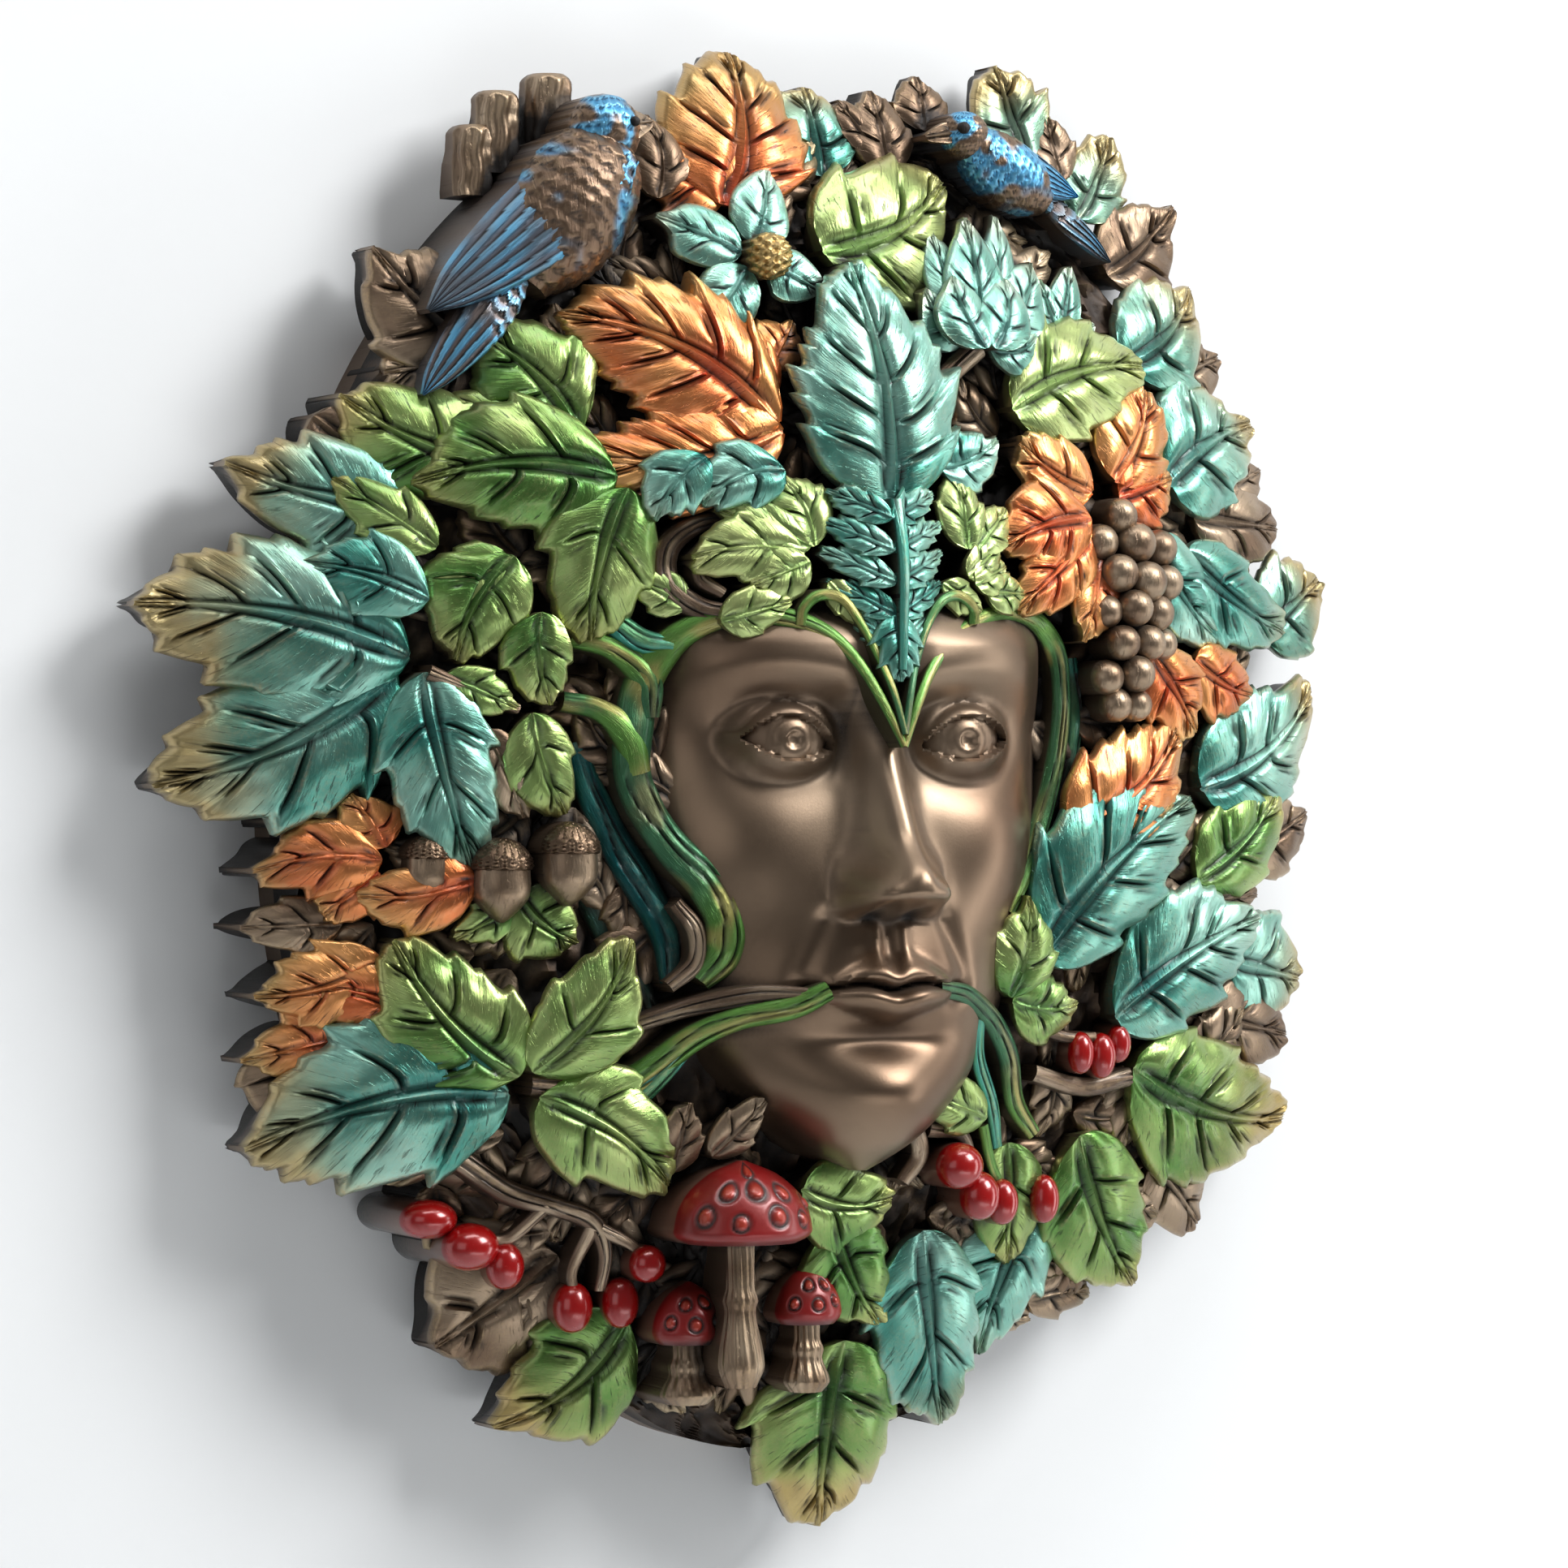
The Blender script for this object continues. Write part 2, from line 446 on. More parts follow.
leafLooks = {
    "teal_leaves": {"paint": ("teal", "tealLight", "tealDark", "gold"), "slot": "teal_leaf", "tooth": 0.15,
                    "puff": 0.1, "fade": 0.5, "rows": [
        [-102, 71, -143, 81, 28, 1, 0, -3], [-104, 33, -167, 46, 38, 3, 3, 4],
        [-107, 29, -162, 1, 36, 2, 2, -4], [-101, 29, -89, -20, 26, 4, 2, 2],
        [-100, 47, -130, 56, 19, 6, 4, 2], [-79, -75, -139, -89, 42, 4, 3, 5],
        [-32, 83, -45, 67, 15, 12, 9, 2], [-12, 80, -33, 71, 17, 13, 10, 3], [33, 82, 52, 90, 16, 10, 8, 2],
        [36, -113, 50, -165, 30, 1, 1, 2], [72, -110, 60, -147, 28, -3, -3, 3],
        [90, -59, 143, -34, 34, 3, 1, -4], [136, -46, 163, -51, 28, -4, -3, 0],
        [64, -43, 114, -2, 36, 6, 3, -5], [120, 0, 164, 27, 34, -1, 0, 4],
        [148, 42, 171, 57, 26, -4, -2, 0], [104, 66, 126, 40, 22, 2, 1, 3], [116, 62, 154, 42, 24, 1, 0, 3],
        [112, 80, 147, 98, 34, 1, 0, -3], [103, 112, 130, 134, 30, -1, 0, 3],
        [80, 166, 73, 191, 24, -2, -2, 0], [95, 151, 107, 174, 21, -3, -3, 2],
        [16, 158, 15, 182, 24, -4, -4, 0]]},
    "centre_leaf": {"paint": ("teal", "tealLight", "tealDark", "mint"), "slot": "teal_leaf", "tooth": 0.17,
                    "puff": 0.07, "fade": 1.0, "tipWear": 0.6, "veinGap": 10.5,
                    "rows": [[17, 71, 13, 134, 42, 14, 10, 2]]},
    "green_leaves": {"paint": ("green", "greenLight", "greenDark", "gold"), "slot": "green_leaf",
                     "tooth": 0.13, "puff": 0.1, "fade": 0.4, "tipWear": 0.45,
                     "rows": [
        [-82, 81, -116, 98, 28, 2, 0, -3], [-60, 89, -85, 115, 29, 3, 1, 3],
        [-62, 88, -91, 96, 16, 2, 0, 0], [-53, 78, -102, 76, 31, 7, 4, 4], [-51, 75, -60, 37, 27, 8, 3, 3],
        [-79, 58, -93, 32, 24, 5, 3, 3], [-79, 57, -98, 48, 15, 4, 3, 0], [-73, 44, -70, 21, 17, 5, 2, 2],
        [-75, 19, -66, -6, 17, 3, 1, 2], [-77, -26, -62, -38, 19, 1, 0, 2],
        [-77, -71, -108, -37, 31, 5, 4, -4], [-74, -70, -50, -37, 23, 6, 4, 3],
        [-72, -76, -37, -99, 28, 6, 4, -3], [-42, -134, -72, -161, 32, -1, -1, -4],
        [17, -141, 20, -191, 39, 1, 0, 3], [-2, -101, 25, -104, 22, 5, 3, 3],
        [9, -110, 26, -137, 25, 3, 2, 2], [60, -91, 64, -123, 22, 0, -1, 0],
        [50, -84, 31, -77, 14, 5, 5, 0], [83, -90, 108, -131, 31, 0, 0, 4],
        [98, -73, 158, -88, 37, 2, 1, 5], [119, -24, 149, 0, 25, 0, 0, 2], [54, -53, 58, -27, 18, 7, 7, 2],
        [55, -54, 77, -55, 17, 6, 4, 2], [-97, 60, -120, 77, 15, 4, 3, 0], [-96, 28, -78, 20, 11, 4, 3, 0],
        [-79, -29, -92, -37, 10, 1, 0, 0]]},
    "pale_leaves": {"paint": ("pale", "greenLight", "green", "gold"), "slot": "green_leaf", "tooth": 0.13,
                    "puff": 0.1, "rows": [
        [60, 98, 106, 111, 29, 4, 3, -4], [10, 137, 49, 157, 36, 2, 1, 4], [-5, 61, -13, 80, 15, 13, 9, 2],
        [-8, 59, -36, 58, 17, 13, 9, 2], [39, 61, 38, 81, 13, 12, 9, 0], [42, 61, 53, 72, 11, 12, 8, 0],
        [-6, 61, -29, 70, 12, 13, 8, 0], [-7, 57, -22, 51, 13, 14, 12, 0], [38, 54, 49, 62, 9, 13, 10, 0],
        [40, 52, 51, 57, 10, 13, 10, 0], [-30, 42, -12, 47, 11, 11, 13, 0], [44, 50, 58, 50, 10, 12, 8, 0],
        [30, 52, 42, 45, 8, 14, 12, 0], [-2, 52, 6, 42, 8, 14, 16, 0], [-36, 46, -50, 53, 11, 6, 3, 0]]},
    "autumn_leaves": {"paint": ("orange", "amber", "redOrange", "gold"), "slot": "autumn_leaf",
                      "tooth": 0.17, "puff": 0.11, "tipWear": 0.6, "veinGap": 8.5,
                      "rows": [
        [-14, 148, -6, 190, 38, 1, -1, 3], [-14, 152, 5, 168, 20, 0, -2, 0],
        [-10, 92, -63, 119, 34, 7, 3, 6], [-9, 90, -64, 84, 24, 7, 4, -5], [-9, 107, -1, 119, 14, 4, 2, 0],
        [-110, -17, -139, -20, 17, 1, 0, 2], [-109, -14, -117, -1, 15, 1, 0, 0],
        [-88, -22, -116, -26, 17, 3, 2, -2], [-109, -43, -138, -51, 19, 1, 0, -2],
        [-100, -57, -124, -49, 19, 2, 1, 2], [-116, -61, -140, -67, 16, -1, -1, 0],
        [72, -10, 109, 15, 30, 5, 3, 4], [101, 35, 116, 15, 21, 4, 3, 0], [117, 34, 139, 25, 19, 2, 1, 2],
        [92, 80, 106, 105, 24, 3, 3, 2], [93, 76, 113, 82, 20, 3, 2, 0], [82, 77, 60, 89, 20, 6, 6, -2],
        [80, 70, 51, 62, 22, 8, 9, 2], [80, 66, 55, 46, 19, 7, 8, 0], [84, 60, 76, 38, 16, 6, 7, 0],
        [-14, 151, -32, 160, 22, 0, -2, 0], [-9, 100, -16, 119, 9, 5, 3, 0],
        [-111, -20, -123, -31, 15, 1, 0, 0]]},
    "bronze_leaves": {"paint": ("bronze", "bronzeLight", "bronzeDark", "bronze"), "slot": "bronze",
                      "tooth": 0.12, "puff": 0.1, "rows": [
        [-79, 110, -104, 136, 30, -2, -2, -3], [-86, 15, -76, -7, 13, 2, 0, 0],
        [-118, -33, -141, -34, 14, -2, -2, 0], [-60, -117, -88, -140, 44, -5, -4, 0],
        [140, -17, 164, -6, 22, -4, -3, 0], [116, -30, 144, -28, 14, -2, -3, 0],
        [123, 72, 156, 70, 22, -3, -3, 0], [120, 109, 140, 116, 20, -4, -4, 0],
        [36, 160, 34, 182, 18, -3, -3, 0], [50, 172, 50, 187, 16, -4, -4, 0],
        [102, 136, 127, 156, 25, -3, -3, 2], [91, 161, 88, 178, 14, -2, -2, 0],
        [-32, 150, -32, 172, 14, 0, 0, 2], [-37, -96, -34, -78, 12, 3, 6, 0],
        [126, -60, 160, -66, 22, -5, -4, 0], [-121, 93, -103, 76, 20, -4, -2, 0],
        [-126, -62, -128, -84, 22, -3, -2, 0], [112, -98, 132, -116, 22, -4, -4, 0],
        [-80, 108, -104, 104, 20, -3, -3, 0], [131, 78, 152, 86, 18, -4, -4, 0],
        [32, 166, 24, 178, 10, -3, -3, 0], [-26, -92, -14, -78, 11, 3, 6, 0],
        [-30, 128, -26, 108, 12, -2, 0, 0], [-60, 96, -62, 122, 14, -2, 0, 0]]},
}
seed = 20
for name, look in leafLooks.items():
    sheets = []
    for row in look["rows"]:
        seed += 1
        sheets.append(leaf(row, look, seed))
    cast(name, sheets, bronzeFinish if name == "bronze_leaves" else leafFinish, look["slot"], 0.5)
print("leaves cast")


# A lower layer of small bronze leaves shows in the gaps between the painted ones.
filler = {"pitch": 12.5, "stray": 4.5, "length": (15, 25), "lift": (-6.5, -3.5), "reach": 0.8,
          "tipReach": 0.87, "covered": 0.2, "faceWide": 58, "faceHigh": 92,
          "look": {"paint": ("bronze", "bronzeLight", "bronzeDark", "olive"), "tooth": 0.2, "puff": 0.12,
                   "veinGap": 6.5, "cut": 1.3}}


def fillerRows():
    luck = np.random.RandomState(5)
    mains = np.array([row[:5] for look in leafLooks.values() for row in look["rows"]], float)
    base, run = mains[:, :2], mains[:, 2:4] - mains[:, :2]
    for i in np.arange(-150, 165, filler["pitch"]):
        for j in np.arange(-170, 175, filler["pitch"]):
            x, z = i + luck.uniform(-1, 1) * filler["stray"], j + luck.uniform(-1, 1) * filler["stray"]
            away = math.atan2(z, x - dome["centreX"]) + luck.uniform(-1.3, 1.3)
            length, lift = luck.uniform(*filler["length"]), luck.uniform(*filler["lift"])
            tipX, tipZ = x + length * math.cos(away), z + length * math.sin(away)
            middle = np.array([(x + tipX) / 2, (z + tipZ) / 2])
            along = np.clip(((middle - base) * run).sum(1) / (run ** 2).sum(1), 0, 1)
            offset = np.hypot(*(middle - base - along[:, None] * run).T)
            onFace = abs(middle[0] - 13) < filler["faceWide"] and -filler["faceHigh"] < middle[1] < 42
            outside = domeReach(x, z) > filler["reach"] or domeReach(tipX, tipZ) > filler["tipReach"]
            if not (outside or onFace or (offset < mains[:, 4] * filler["covered"]).any()):
                yield [x, z, tipX, tipZ, length * luck.uniform(0.5, 0.7), lift, lift + luck.uniform(-1, 2),
                       luck.uniform(-3, 3)]


cast("lower_leaves", [leaf(row, filler["look"], 300 + i, "tiny") for i, row in enumerate(fillerRows())],
     bronzeFinish,
     "bronze", 0.5)


# The ground under the leaves is rough, with stray twigs and leaf ends pressed into it. It stands on a
# plain back with a keyhole recess.
def bedGrid(rows, columns):
    angles, shares = np.meshgrid(np.pi * (np.linspace(0, 1, rows) - 0.5) * 0.98, np.linspace(-1, 1, columns),
                                 indexing="ij")
    z = dome["halfHeight"] * bed["reachUp"] * np.sin(angles)
    narrow = 1 - bed["narrowing"] * smooth(-z, bed["narrowFrom"], bed["narrowTo"])
    half = dome["halfWidth"] * bed["reach"] * np.cos(angles) ** bed["roundness"] * narrow
    return dome["centreX"] + half * shares, z


def ground():
    x, z = bedGrid(bed["rows"], bed["columns"])
    twigs = 1 - np.abs(noise(x + 1.4 * z, z - 0.4 * x, 7, 3))
    tips = 1 - np.abs(noise(x - 0.7 * z, z + 0.9 * x, 5, 8))
    h = domeHeight(x, z) - bed["drop"] + 3.2 * twigs ** 5 + 2.4 * tips ** 5 + 1.2 * noise(x, z, 4, 5) - 1
    dark = np.clip(0.8 - 0.5 * (twigs ** 5 + tips ** 5), 0, 1)
    paint = tint(paints["bronze"], paints["bronzeDark"], np.clip(0.5 + 0.5 * noise(x, z, 11, 9), 0, 1))
    return front(np.stack([x, -h, z], -1), paint, dark, 0.5 * twigs ** 8, bed["foot"])


cast("ground", [ground()], bedFinish, "bronze")

back = {"height": 11.6, "rows": 60, "columns": 24, "keyX": 8, "mouthZ": 100, "mouthRadius": 7, "depth": 11,
        "lip": 3, "slotRadius": 3.2, "slotRise": 14, "past": 2, "play": 0.2, "wash": 0.15, "rub": 0.1}


def keyholePlug(radius, near, far, z):
    bpy.ops.object.select_all(action="DESELECT")
    bpy.ops.mesh.primitive_cylinder_add(vertices=48, radius=radius * mm, depth=(far - near) * mm,
                                        location=(back["keyX"] * mm, (near + far) / 2 * mm, z * mm),
                                        rotation=(math.pi / 2, 0, 0))
    bpy.ops.object.transform_apply(location=True, rotation=True, scale=True)
    return bpy.context.object


def keyholeBar(radius, near, far):
    bpy.ops.object.select_all(action="DESELECT")
    middle = back["mouthZ"] + back["slotRise"] / 2
    bpy.ops.mesh.primitive_cube_add(size=mm, location=(back["keyX"] * mm, (near + far) / 2 * mm, middle * mm),
                                    scale=(2 * radius, far - near, back["slotRise"]))
    bpy.ops.object.transform_apply(location=True, rotation=True, scale=True)
    return bpy.context.object


def backPlate():
    x, z = bedGrid(back["rows"], back["columns"])
    plate = front(np.stack([x, np.full(x.shape, -back["height"]), z], -1), paints["bronze"], back["wash"],
                  back["rub"], 0)
    bpy.ops.object.mode_set(mode="EDIT")
    bpy.ops.mesh.select_all(action="SELECT")
    bpy.ops.mesh.extrude_region_move(TRANSFORM_OT_translate={"value": (0, back["height"] * mm, 0)})
    bpy.ops.mesh.select_all(action="SELECT")
    bpy.ops.mesh.normals_make_consistent(inside=False)
    bpy.ops.object.mode_set(mode="OBJECT")
    topZ, runRadius = back["mouthZ"] + back["slotRise"], back["mouthRadius"] - back["play"]
    neck, past, depth, lip = back["lip"] + 1, back["past"], back["depth"], back["lip"]
    cutter = join([keyholePlug(back["mouthRadius"], -depth, past, back["mouthZ"]),
                   keyholeBar(back["slotRadius"], -neck, past), keyholeBar(runRadius, -depth, -lip),
                   keyholePlug(back["slotRadius"], -neck, past, topZ),
                   keyholePlug(runRadius, -depth, -lip, topZ)])
    bpy.ops.object.select_all(action="DESELECT")
    bpy.context.view_layer.objects.active = plate
    cut = plate.modifiers.new("keyhole", "BOOLEAN")
    cut.operation, cut.object, cut.solver, cut.use_self = "DIFFERENCE", cutter, "EXACT", True
    bpy.ops.object.modifier_apply(modifier="keyhole")
    bpy.data.objects.remove(cutter)
    mesh = plate.data
    plate.name = mesh.name = "back"
    colours = np.tile(np.array([*paints["bronze"], 1], np.float32), (len(mesh.vertices), 1))
    mesh.attributes["paint"].data.foreach_set("color", colours.ravel())
    for name in ("wash", "rub"):
        mesh.attributes[name].data.foreach_set("value", np.full(len(mesh.vertices), back[name], np.float32))
    return plate


keep(backPlate(), bronzeFinish, "bronze")
print("ground and back cast")


# The face keeps the canon of thirds: chin to nose, nose to brow and brow to hairline are alike, and it
# is five eyes wide. It is one height field, alike on both sides.
face = {"centreX": 13, "chinZ": -88, "third": 58, "halfWidth": 60, "floor": 34, "crown": 50, "foot": 14,
        "rows": 210, "columns": 170, "bottom": -96.2, "rowCrowding": 1.2, "columnCrowding": 1.25}
canon = {"eye": face["halfWidth"] * 2 / 5, "nose": face["chinZ"] + face["third"],
         "brow": face["chinZ"] + 2 * face["third"]}
canon["mouth"] = canon["nose"] - face["third"] / 3
canon["eyeZ"] = face["chinZ"] + face["third"] * 1.75


def curve(at, table):                       # a smooth line through a few heights
    places, values = (np.array(column, float) for column in zip(*table))
    i = np.clip(np.searchsorted(places, at) - 1, 0, len(places) - 2)
    before, after = np.clip(i - 1, 0, None), np.clip(i + 2, None, len(places) - 1)
    span = places[i + 1] - places[i]
    t = np.clip((at - places[i]) / span, 0, 1)
    slope = (values[i + 1] - values[before]) / (places[i + 1] - places[before]) * span
    slopeAfter = (values[after] - values[i]) / (places[after] - places[i]) * span
    return ((2 * t ** 3 - 3 * t ** 2 + 1) * values[i] + (t ** 3 - 2 * t ** 2 + t) * slope
            + (3 * t ** 2 - 2 * t ** 3) * values[i + 1] + (t ** 3 - t ** 2) * slopeAfter)


def faceHalfWidth(z):
    down = np.clip(-z / (face["centreX"] - face["chinZ"] - 4), 0, 1)
    return face["halfWidth"] * (1 - down ** 2.2) ** 0.62


profile = [(-97, 60), (face["chinZ"], 71), (-76, 75.5), (-62, 74), (canon["mouth"], 76.5),
           (canon["nose"], 75), (-8, 72.5), (canon["eyeZ"], 71), (canon["brow"], 75), (50, 77), (80, 72)]
noseRise = [(-40, 21), (-24, 21), (-10, 14.5), (4, 8.6), (16, 4.6), (26, 1.2), (36, 0)]
noseHalf = [(-34, 9.5), (-22, 8.8), (-12, 7), (0, 6), (14, 7.2), (28, 10)]


def faceHeight(side, z):
    share = np.clip(side / np.maximum(1, faceHalfWidth(z)), 0, 1)
    h = face["floor"] + (curve(z, profile) - face["floor"]) * (1 - share ** 2.5) ** 0.52
    browArch = canon["brow"] - 1 + 5 * np.sin(np.pi * np.clip(side / 62, 0, 1))
    h += 2.6 * bell(z - browArch, 6.5) * smooth(side, 4, 14) * (1 - smooth(side, 42, 56))
    h -= 7.5 * bell(side - canon["eye"], 15.5) * bell(z - canon["eyeZ"], 11)
    h -= 4 * bell(side - 11.5, 5.5) * bell(z - canon["eyeZ"] - 1, 8)
    h += 3 * bell(side - 36, 17) * bell(z + 13, 14) - 2.6 * bell(side - 37, 14) * bell(z + 44, 17)
    h -= 1.2 * bell(side - (14 + (-27 - z) * 0.45), 3.2) * smooth(-z, 27, 33) * (1 - smooth(-z, 42, 54))
    h += 2.5 * bell(side, 22) * bell(z - canon["mouth"], 13)
    # nose: bridge, tip, wings, nostrils
    under = smooth(z, canon["nose"] - 3.5 + 0.05 * side, canon["nose"] + 4.5 + 0.02 * side)
    ridge = curve(z, noseRise) * np.exp(-0.8 * (side / curve(z, noseHalf)) ** 2.3)
    h += under * (ridge + 2.6 * bell(side, 6.5) * bell(z + 21, 6))
    h += 9.0 * bell(side - 9.6, 4.9) * bell(z + 26, 6.6) * smooth(z, canon["nose"] - 3.6, canon["nose"] + 0.2)
    h -= 4.5 * bell(side - 5.6, 2.6) * bell(z + 30.6, 1.8) + 1.4 * bell(side - 15.6, 1.8) * bell(z + 25.5, 6)
    # groove above the lip, lips, corners, chin
    groove = 0.9 * bell(side - 3.8, 1.9) - 1.1 * bell(side, 2.6)
    h += smooth(-z, 31, 35) * (1 - smooth(-z, 40.5, 43.5)) * groove
    e = np.clip(side / 20.5, 0, 1)
    line = canon["mouth"] + 0.3 - 0.9 * bell(side, 3.5) + 0.7 * bell(side - 9, 5) - 0.8 * e ** 3
    top = line + (7.2 + bell(side - 4.6, 3) - bell(side, 2)) * (1 - e ** 1.7) + 0.01
    low = line - 9.2 * (1 - e ** 2.1) ** 0.8 - 0.01
    up, down = np.clip((z - line) / (top - line), 0, 1), np.clip((line - z) / (line - low), 0, 1)
    swell = 1 - e ** 2.6
    h += 3.4 * np.sin(np.pi * up ** 0.75) ** 0.9 * swell * (z >= line) * (1 + 0.12 * bell(side, 4))
    h += 4.6 * np.sin(np.pi * down ** 0.8) ** 0.85 * swell * (z < line) * (1 + 0.1 * bell(side - 5.5, 4.5))
    h += 0.7 * bell(z - top, 1.1) * (1 - e ** 2) - 2.4 * bell(z - line, 0.95) * (1 - smooth(side, 19.5, 23.5))
    h -= 2.6 * bell(side - 21.5, 3.4) * bell(z + 50.4, 3.2)
    h += 4.2 * bell(side, 14) * bell(z + 76, 9) - 3.4 * bell(side, 15) * bell(z + 62.5, 4.2)
    h = eyeHeight(side, z, h)
    return h - 9 * smooth(z, 36, 52)


# Ball of the eye, with lids that wrap over it, a crease above and a soft fold below
eye = {"x": 24.2, "z": 12.6, "radius": 13.0, "front": 73.2, "inner": 12.4, "outer": 36.6, "upper": 7.0,
       "lower": 4.2}


def eyeHeight(side, z, h):
    away = np.hypot(side - eye["x"], z - eye["z"])
    ball = eye["front"] - eye["radius"] + np.sqrt(np.maximum(eye["radius"] ** 2 - away ** 2, 0))
    lidBall = eye["front"] + 1.3 - 0.034 * ((side - eye["x"]) ** 2 * 0.72 + (z - eye["z"]) ** 2 * 1.15)
    reach = np.sqrt(((side - eye["x"]) / 16.5) ** 2 + ((z - eye["z"]) / 12.5) ** 2)
    h = mix(h, np.logaddexp(h / 1.8, lidBall / 1.8) * 1.8, 1 - smooth(reach, 0.62, 1.12))
    run = np.clip((side - eye["inner"]) / (eye["outer"] - eye["inner"]), 0, 1)
    arc = np.sin(np.pi * run)
    slant = 10.8 + 2.2 * run
    upper = slant + eye["upper"] * arc ** 0.75 * (1.06 - 0.12 * run)
    lower = slant - eye["lower"] * arc ** 0.85 * (0.9 + 0.3 * run)
    inside = smooth(z - lower, -0.25, 0.35) * (1 - smooth(z - upper, -0.35, 0.25))
    inside = inside * (side > eye["inner"]) * (side < eye["outer"])
    iris = ball - 0.55 * bell(away - 5.7, 0.5) - 1.5 * (1 - smooth(away, 1.3, 2.6))
    h = mix(h, np.minimum(iris, h), inside)
    span = smooth(side, 11, 16) * (1 - smooth(side, 36, 42))
    crease = upper + 3.4 - 1.2 * (2 * run - 1) ** 2
    h -= 1.5 * bell(z - crease, 1.0) * span
    h += (0.6 * bell(z - upper - 0.9, 0.8) + 0.5 * bell(z - lower + 0.9, 0.8)) * span * (1 - inside)
    return h - 0.6 * bell(z - (lower - 4.4), 1.9) * span


def crowded(count, angle):                  # places from -1 to 1, closer together at the ends
    return np.sin(np.linspace(-1, 1, count) * angle) / math.sin(angle)


def faceFront():
    rows = crowded(face["rows"], face["rowCrowding"])
    z = mix(face["bottom"], face["crown"], (rows + 1) / 2)
    share = crowded(face["columns"], face["columnCrowding"])
    z, share = np.meshgrid(z, share, indexing="ij")
    side = share * faceHalfWidth(z)
    h = faceHeight(np.abs(side), z)
    x = face["centreX"] + side
    paint = tint(paints["bronze"], paints["bronzeLight"], np.clip(0.12 + 0.2 * noise(x, z, 25, 4), 0, 1))
    away = np.hypot(np.abs(side) - eye["x"], z - eye["z"])
    edge = smooth(np.abs(share), 0.86, 1)
    dark = 0.55 * edge + 0.35 * bell(away, 13) * smooth(away, 2, 9)
    dark = dark + 0.5 * bell(z - canon["mouth"], 1.3) * (np.abs(side) < 21) + 0.3 * smooth(z, 30, 44)
    return front(np.stack([x, -h, z], -1), paint, np.clip(dark, 0, 1), 0.1, face["foot"])


cast("face", [faceFront()], faceFinish, "bronze")
print("face cast")


# Vines and twigs are rounded ridges along a smooth path of [x, z, lift, width], with long grooves that
# wander from side to side.
vineForm = {"step": 1.1, "sides": 23, "proud": 0.85, "groove": 0.24, "grooveWidth": 0.085,
            "grooves": (-0.45, 0.3)}


def smoothPath(path, count):
    points = np.array(path, float)
    padded = np.vstack([2 * points[0] - points[1], points, 2 * points[-1] - points[-2]])
    at = np.linspace(0, len(points) - 1, count)
    i = np.clip(at.astype(int), 0, len(points) - 2)
    t = (at - i)[:, None]
    p0, p1, p2, p3 = (padded[i + k] for k in range(4))
    return 0.5 * (2 * p1 + (p2 - p0) * t + (2 * p0 - 5 * p1 + 4 * p2 - p3) * t ** 2
                  + (3 * p1 - p0 - 3 * p2 + p3) * t ** 3)


def vine(path, bands, seed):
    run = sum(math.dist(a[:2], b[:2]) for a, b in zip(path, path[1:]))
    line = smoothPath(path, int(np.clip(run / vineForm["step"], 8, 170)))
    slope = np.gradient(line, axis=0)
    slope /= np.hypot(slope[:, 0], slope[:, 1])[:, None]
    across = np.sin(np.linspace(-1, 1, vineForm["sides"]) * math.pi / 2)
    a, v = np.meshgrid(np.linspace(0, run, len(line)), across, indexing="ij")
    halves = np.maximum(0.4, line[:, 3] / 2)[:, None] * (1 + 0.08 * noise(a, v * 0 + seed, 9, seed))
    x = line[:, 0][:, None] + slope[:, 1][:, None] * halves * v
    z = line[:, 1][:, None] - slope[:, 0][:, None] * halves * v
    top = domeHeight(line[:, 0], line[:, 1])[:, None] + line[:, 2][:, None]
    cut = np.zeros(a.shape)
    for i, place in enumerate(vineForm["grooves"]):
        wander = place + 0.28 * noise(a, a * 0 + i * 3 + seed, 17, seed + i)
        fades = smooth(noise(a, a * 0 + i * 5 + seed, 23, seed + 7), -0.6, 0.0)
        cut = np.maximum(cut, bell(v - wander, vineForm["grooveWidth"]) * fades * smooth(halves, 1.1, 2.2))
    h = top - halves * vineForm["proud"] * (1 - np.sqrt(np.clip(1 - (0.97 * v) ** 2, 0, 1)))
    h = h - vineForm["groove"] * halves * cut + 0.10 * halves * noise(a, v * 5 + seed, 6, seed)
    band = [paints[name] for name in bands]
    ridge = smooth(noise(a * 0.5, v * 9 + seed, 5, seed + 1) + 0.5 * (1 - np.abs(v)), 0.1, 0.8)
    paint = tint(band[0], band[1], 0.55 * ridge)
    paint = tint(paint, band[2], 0.6 * smooth(noise(a, v * 3, 30, seed + 2) - 0.25 * ridge, 0, 0.8))
    dark = np.clip(cut + 0.6 * smooth(np.abs(v), 0.86, 1), 0, 1)
    rub = 0.5 * bell(v - 0.05, 0.35) * (1 - cut)
    lines = np.stack([v * halves * 3 + seed * 5, a], -1)
    return front(np.stack([x, -h, z], -1), paint, dark, rub, footUnder(x, z, h), lines)


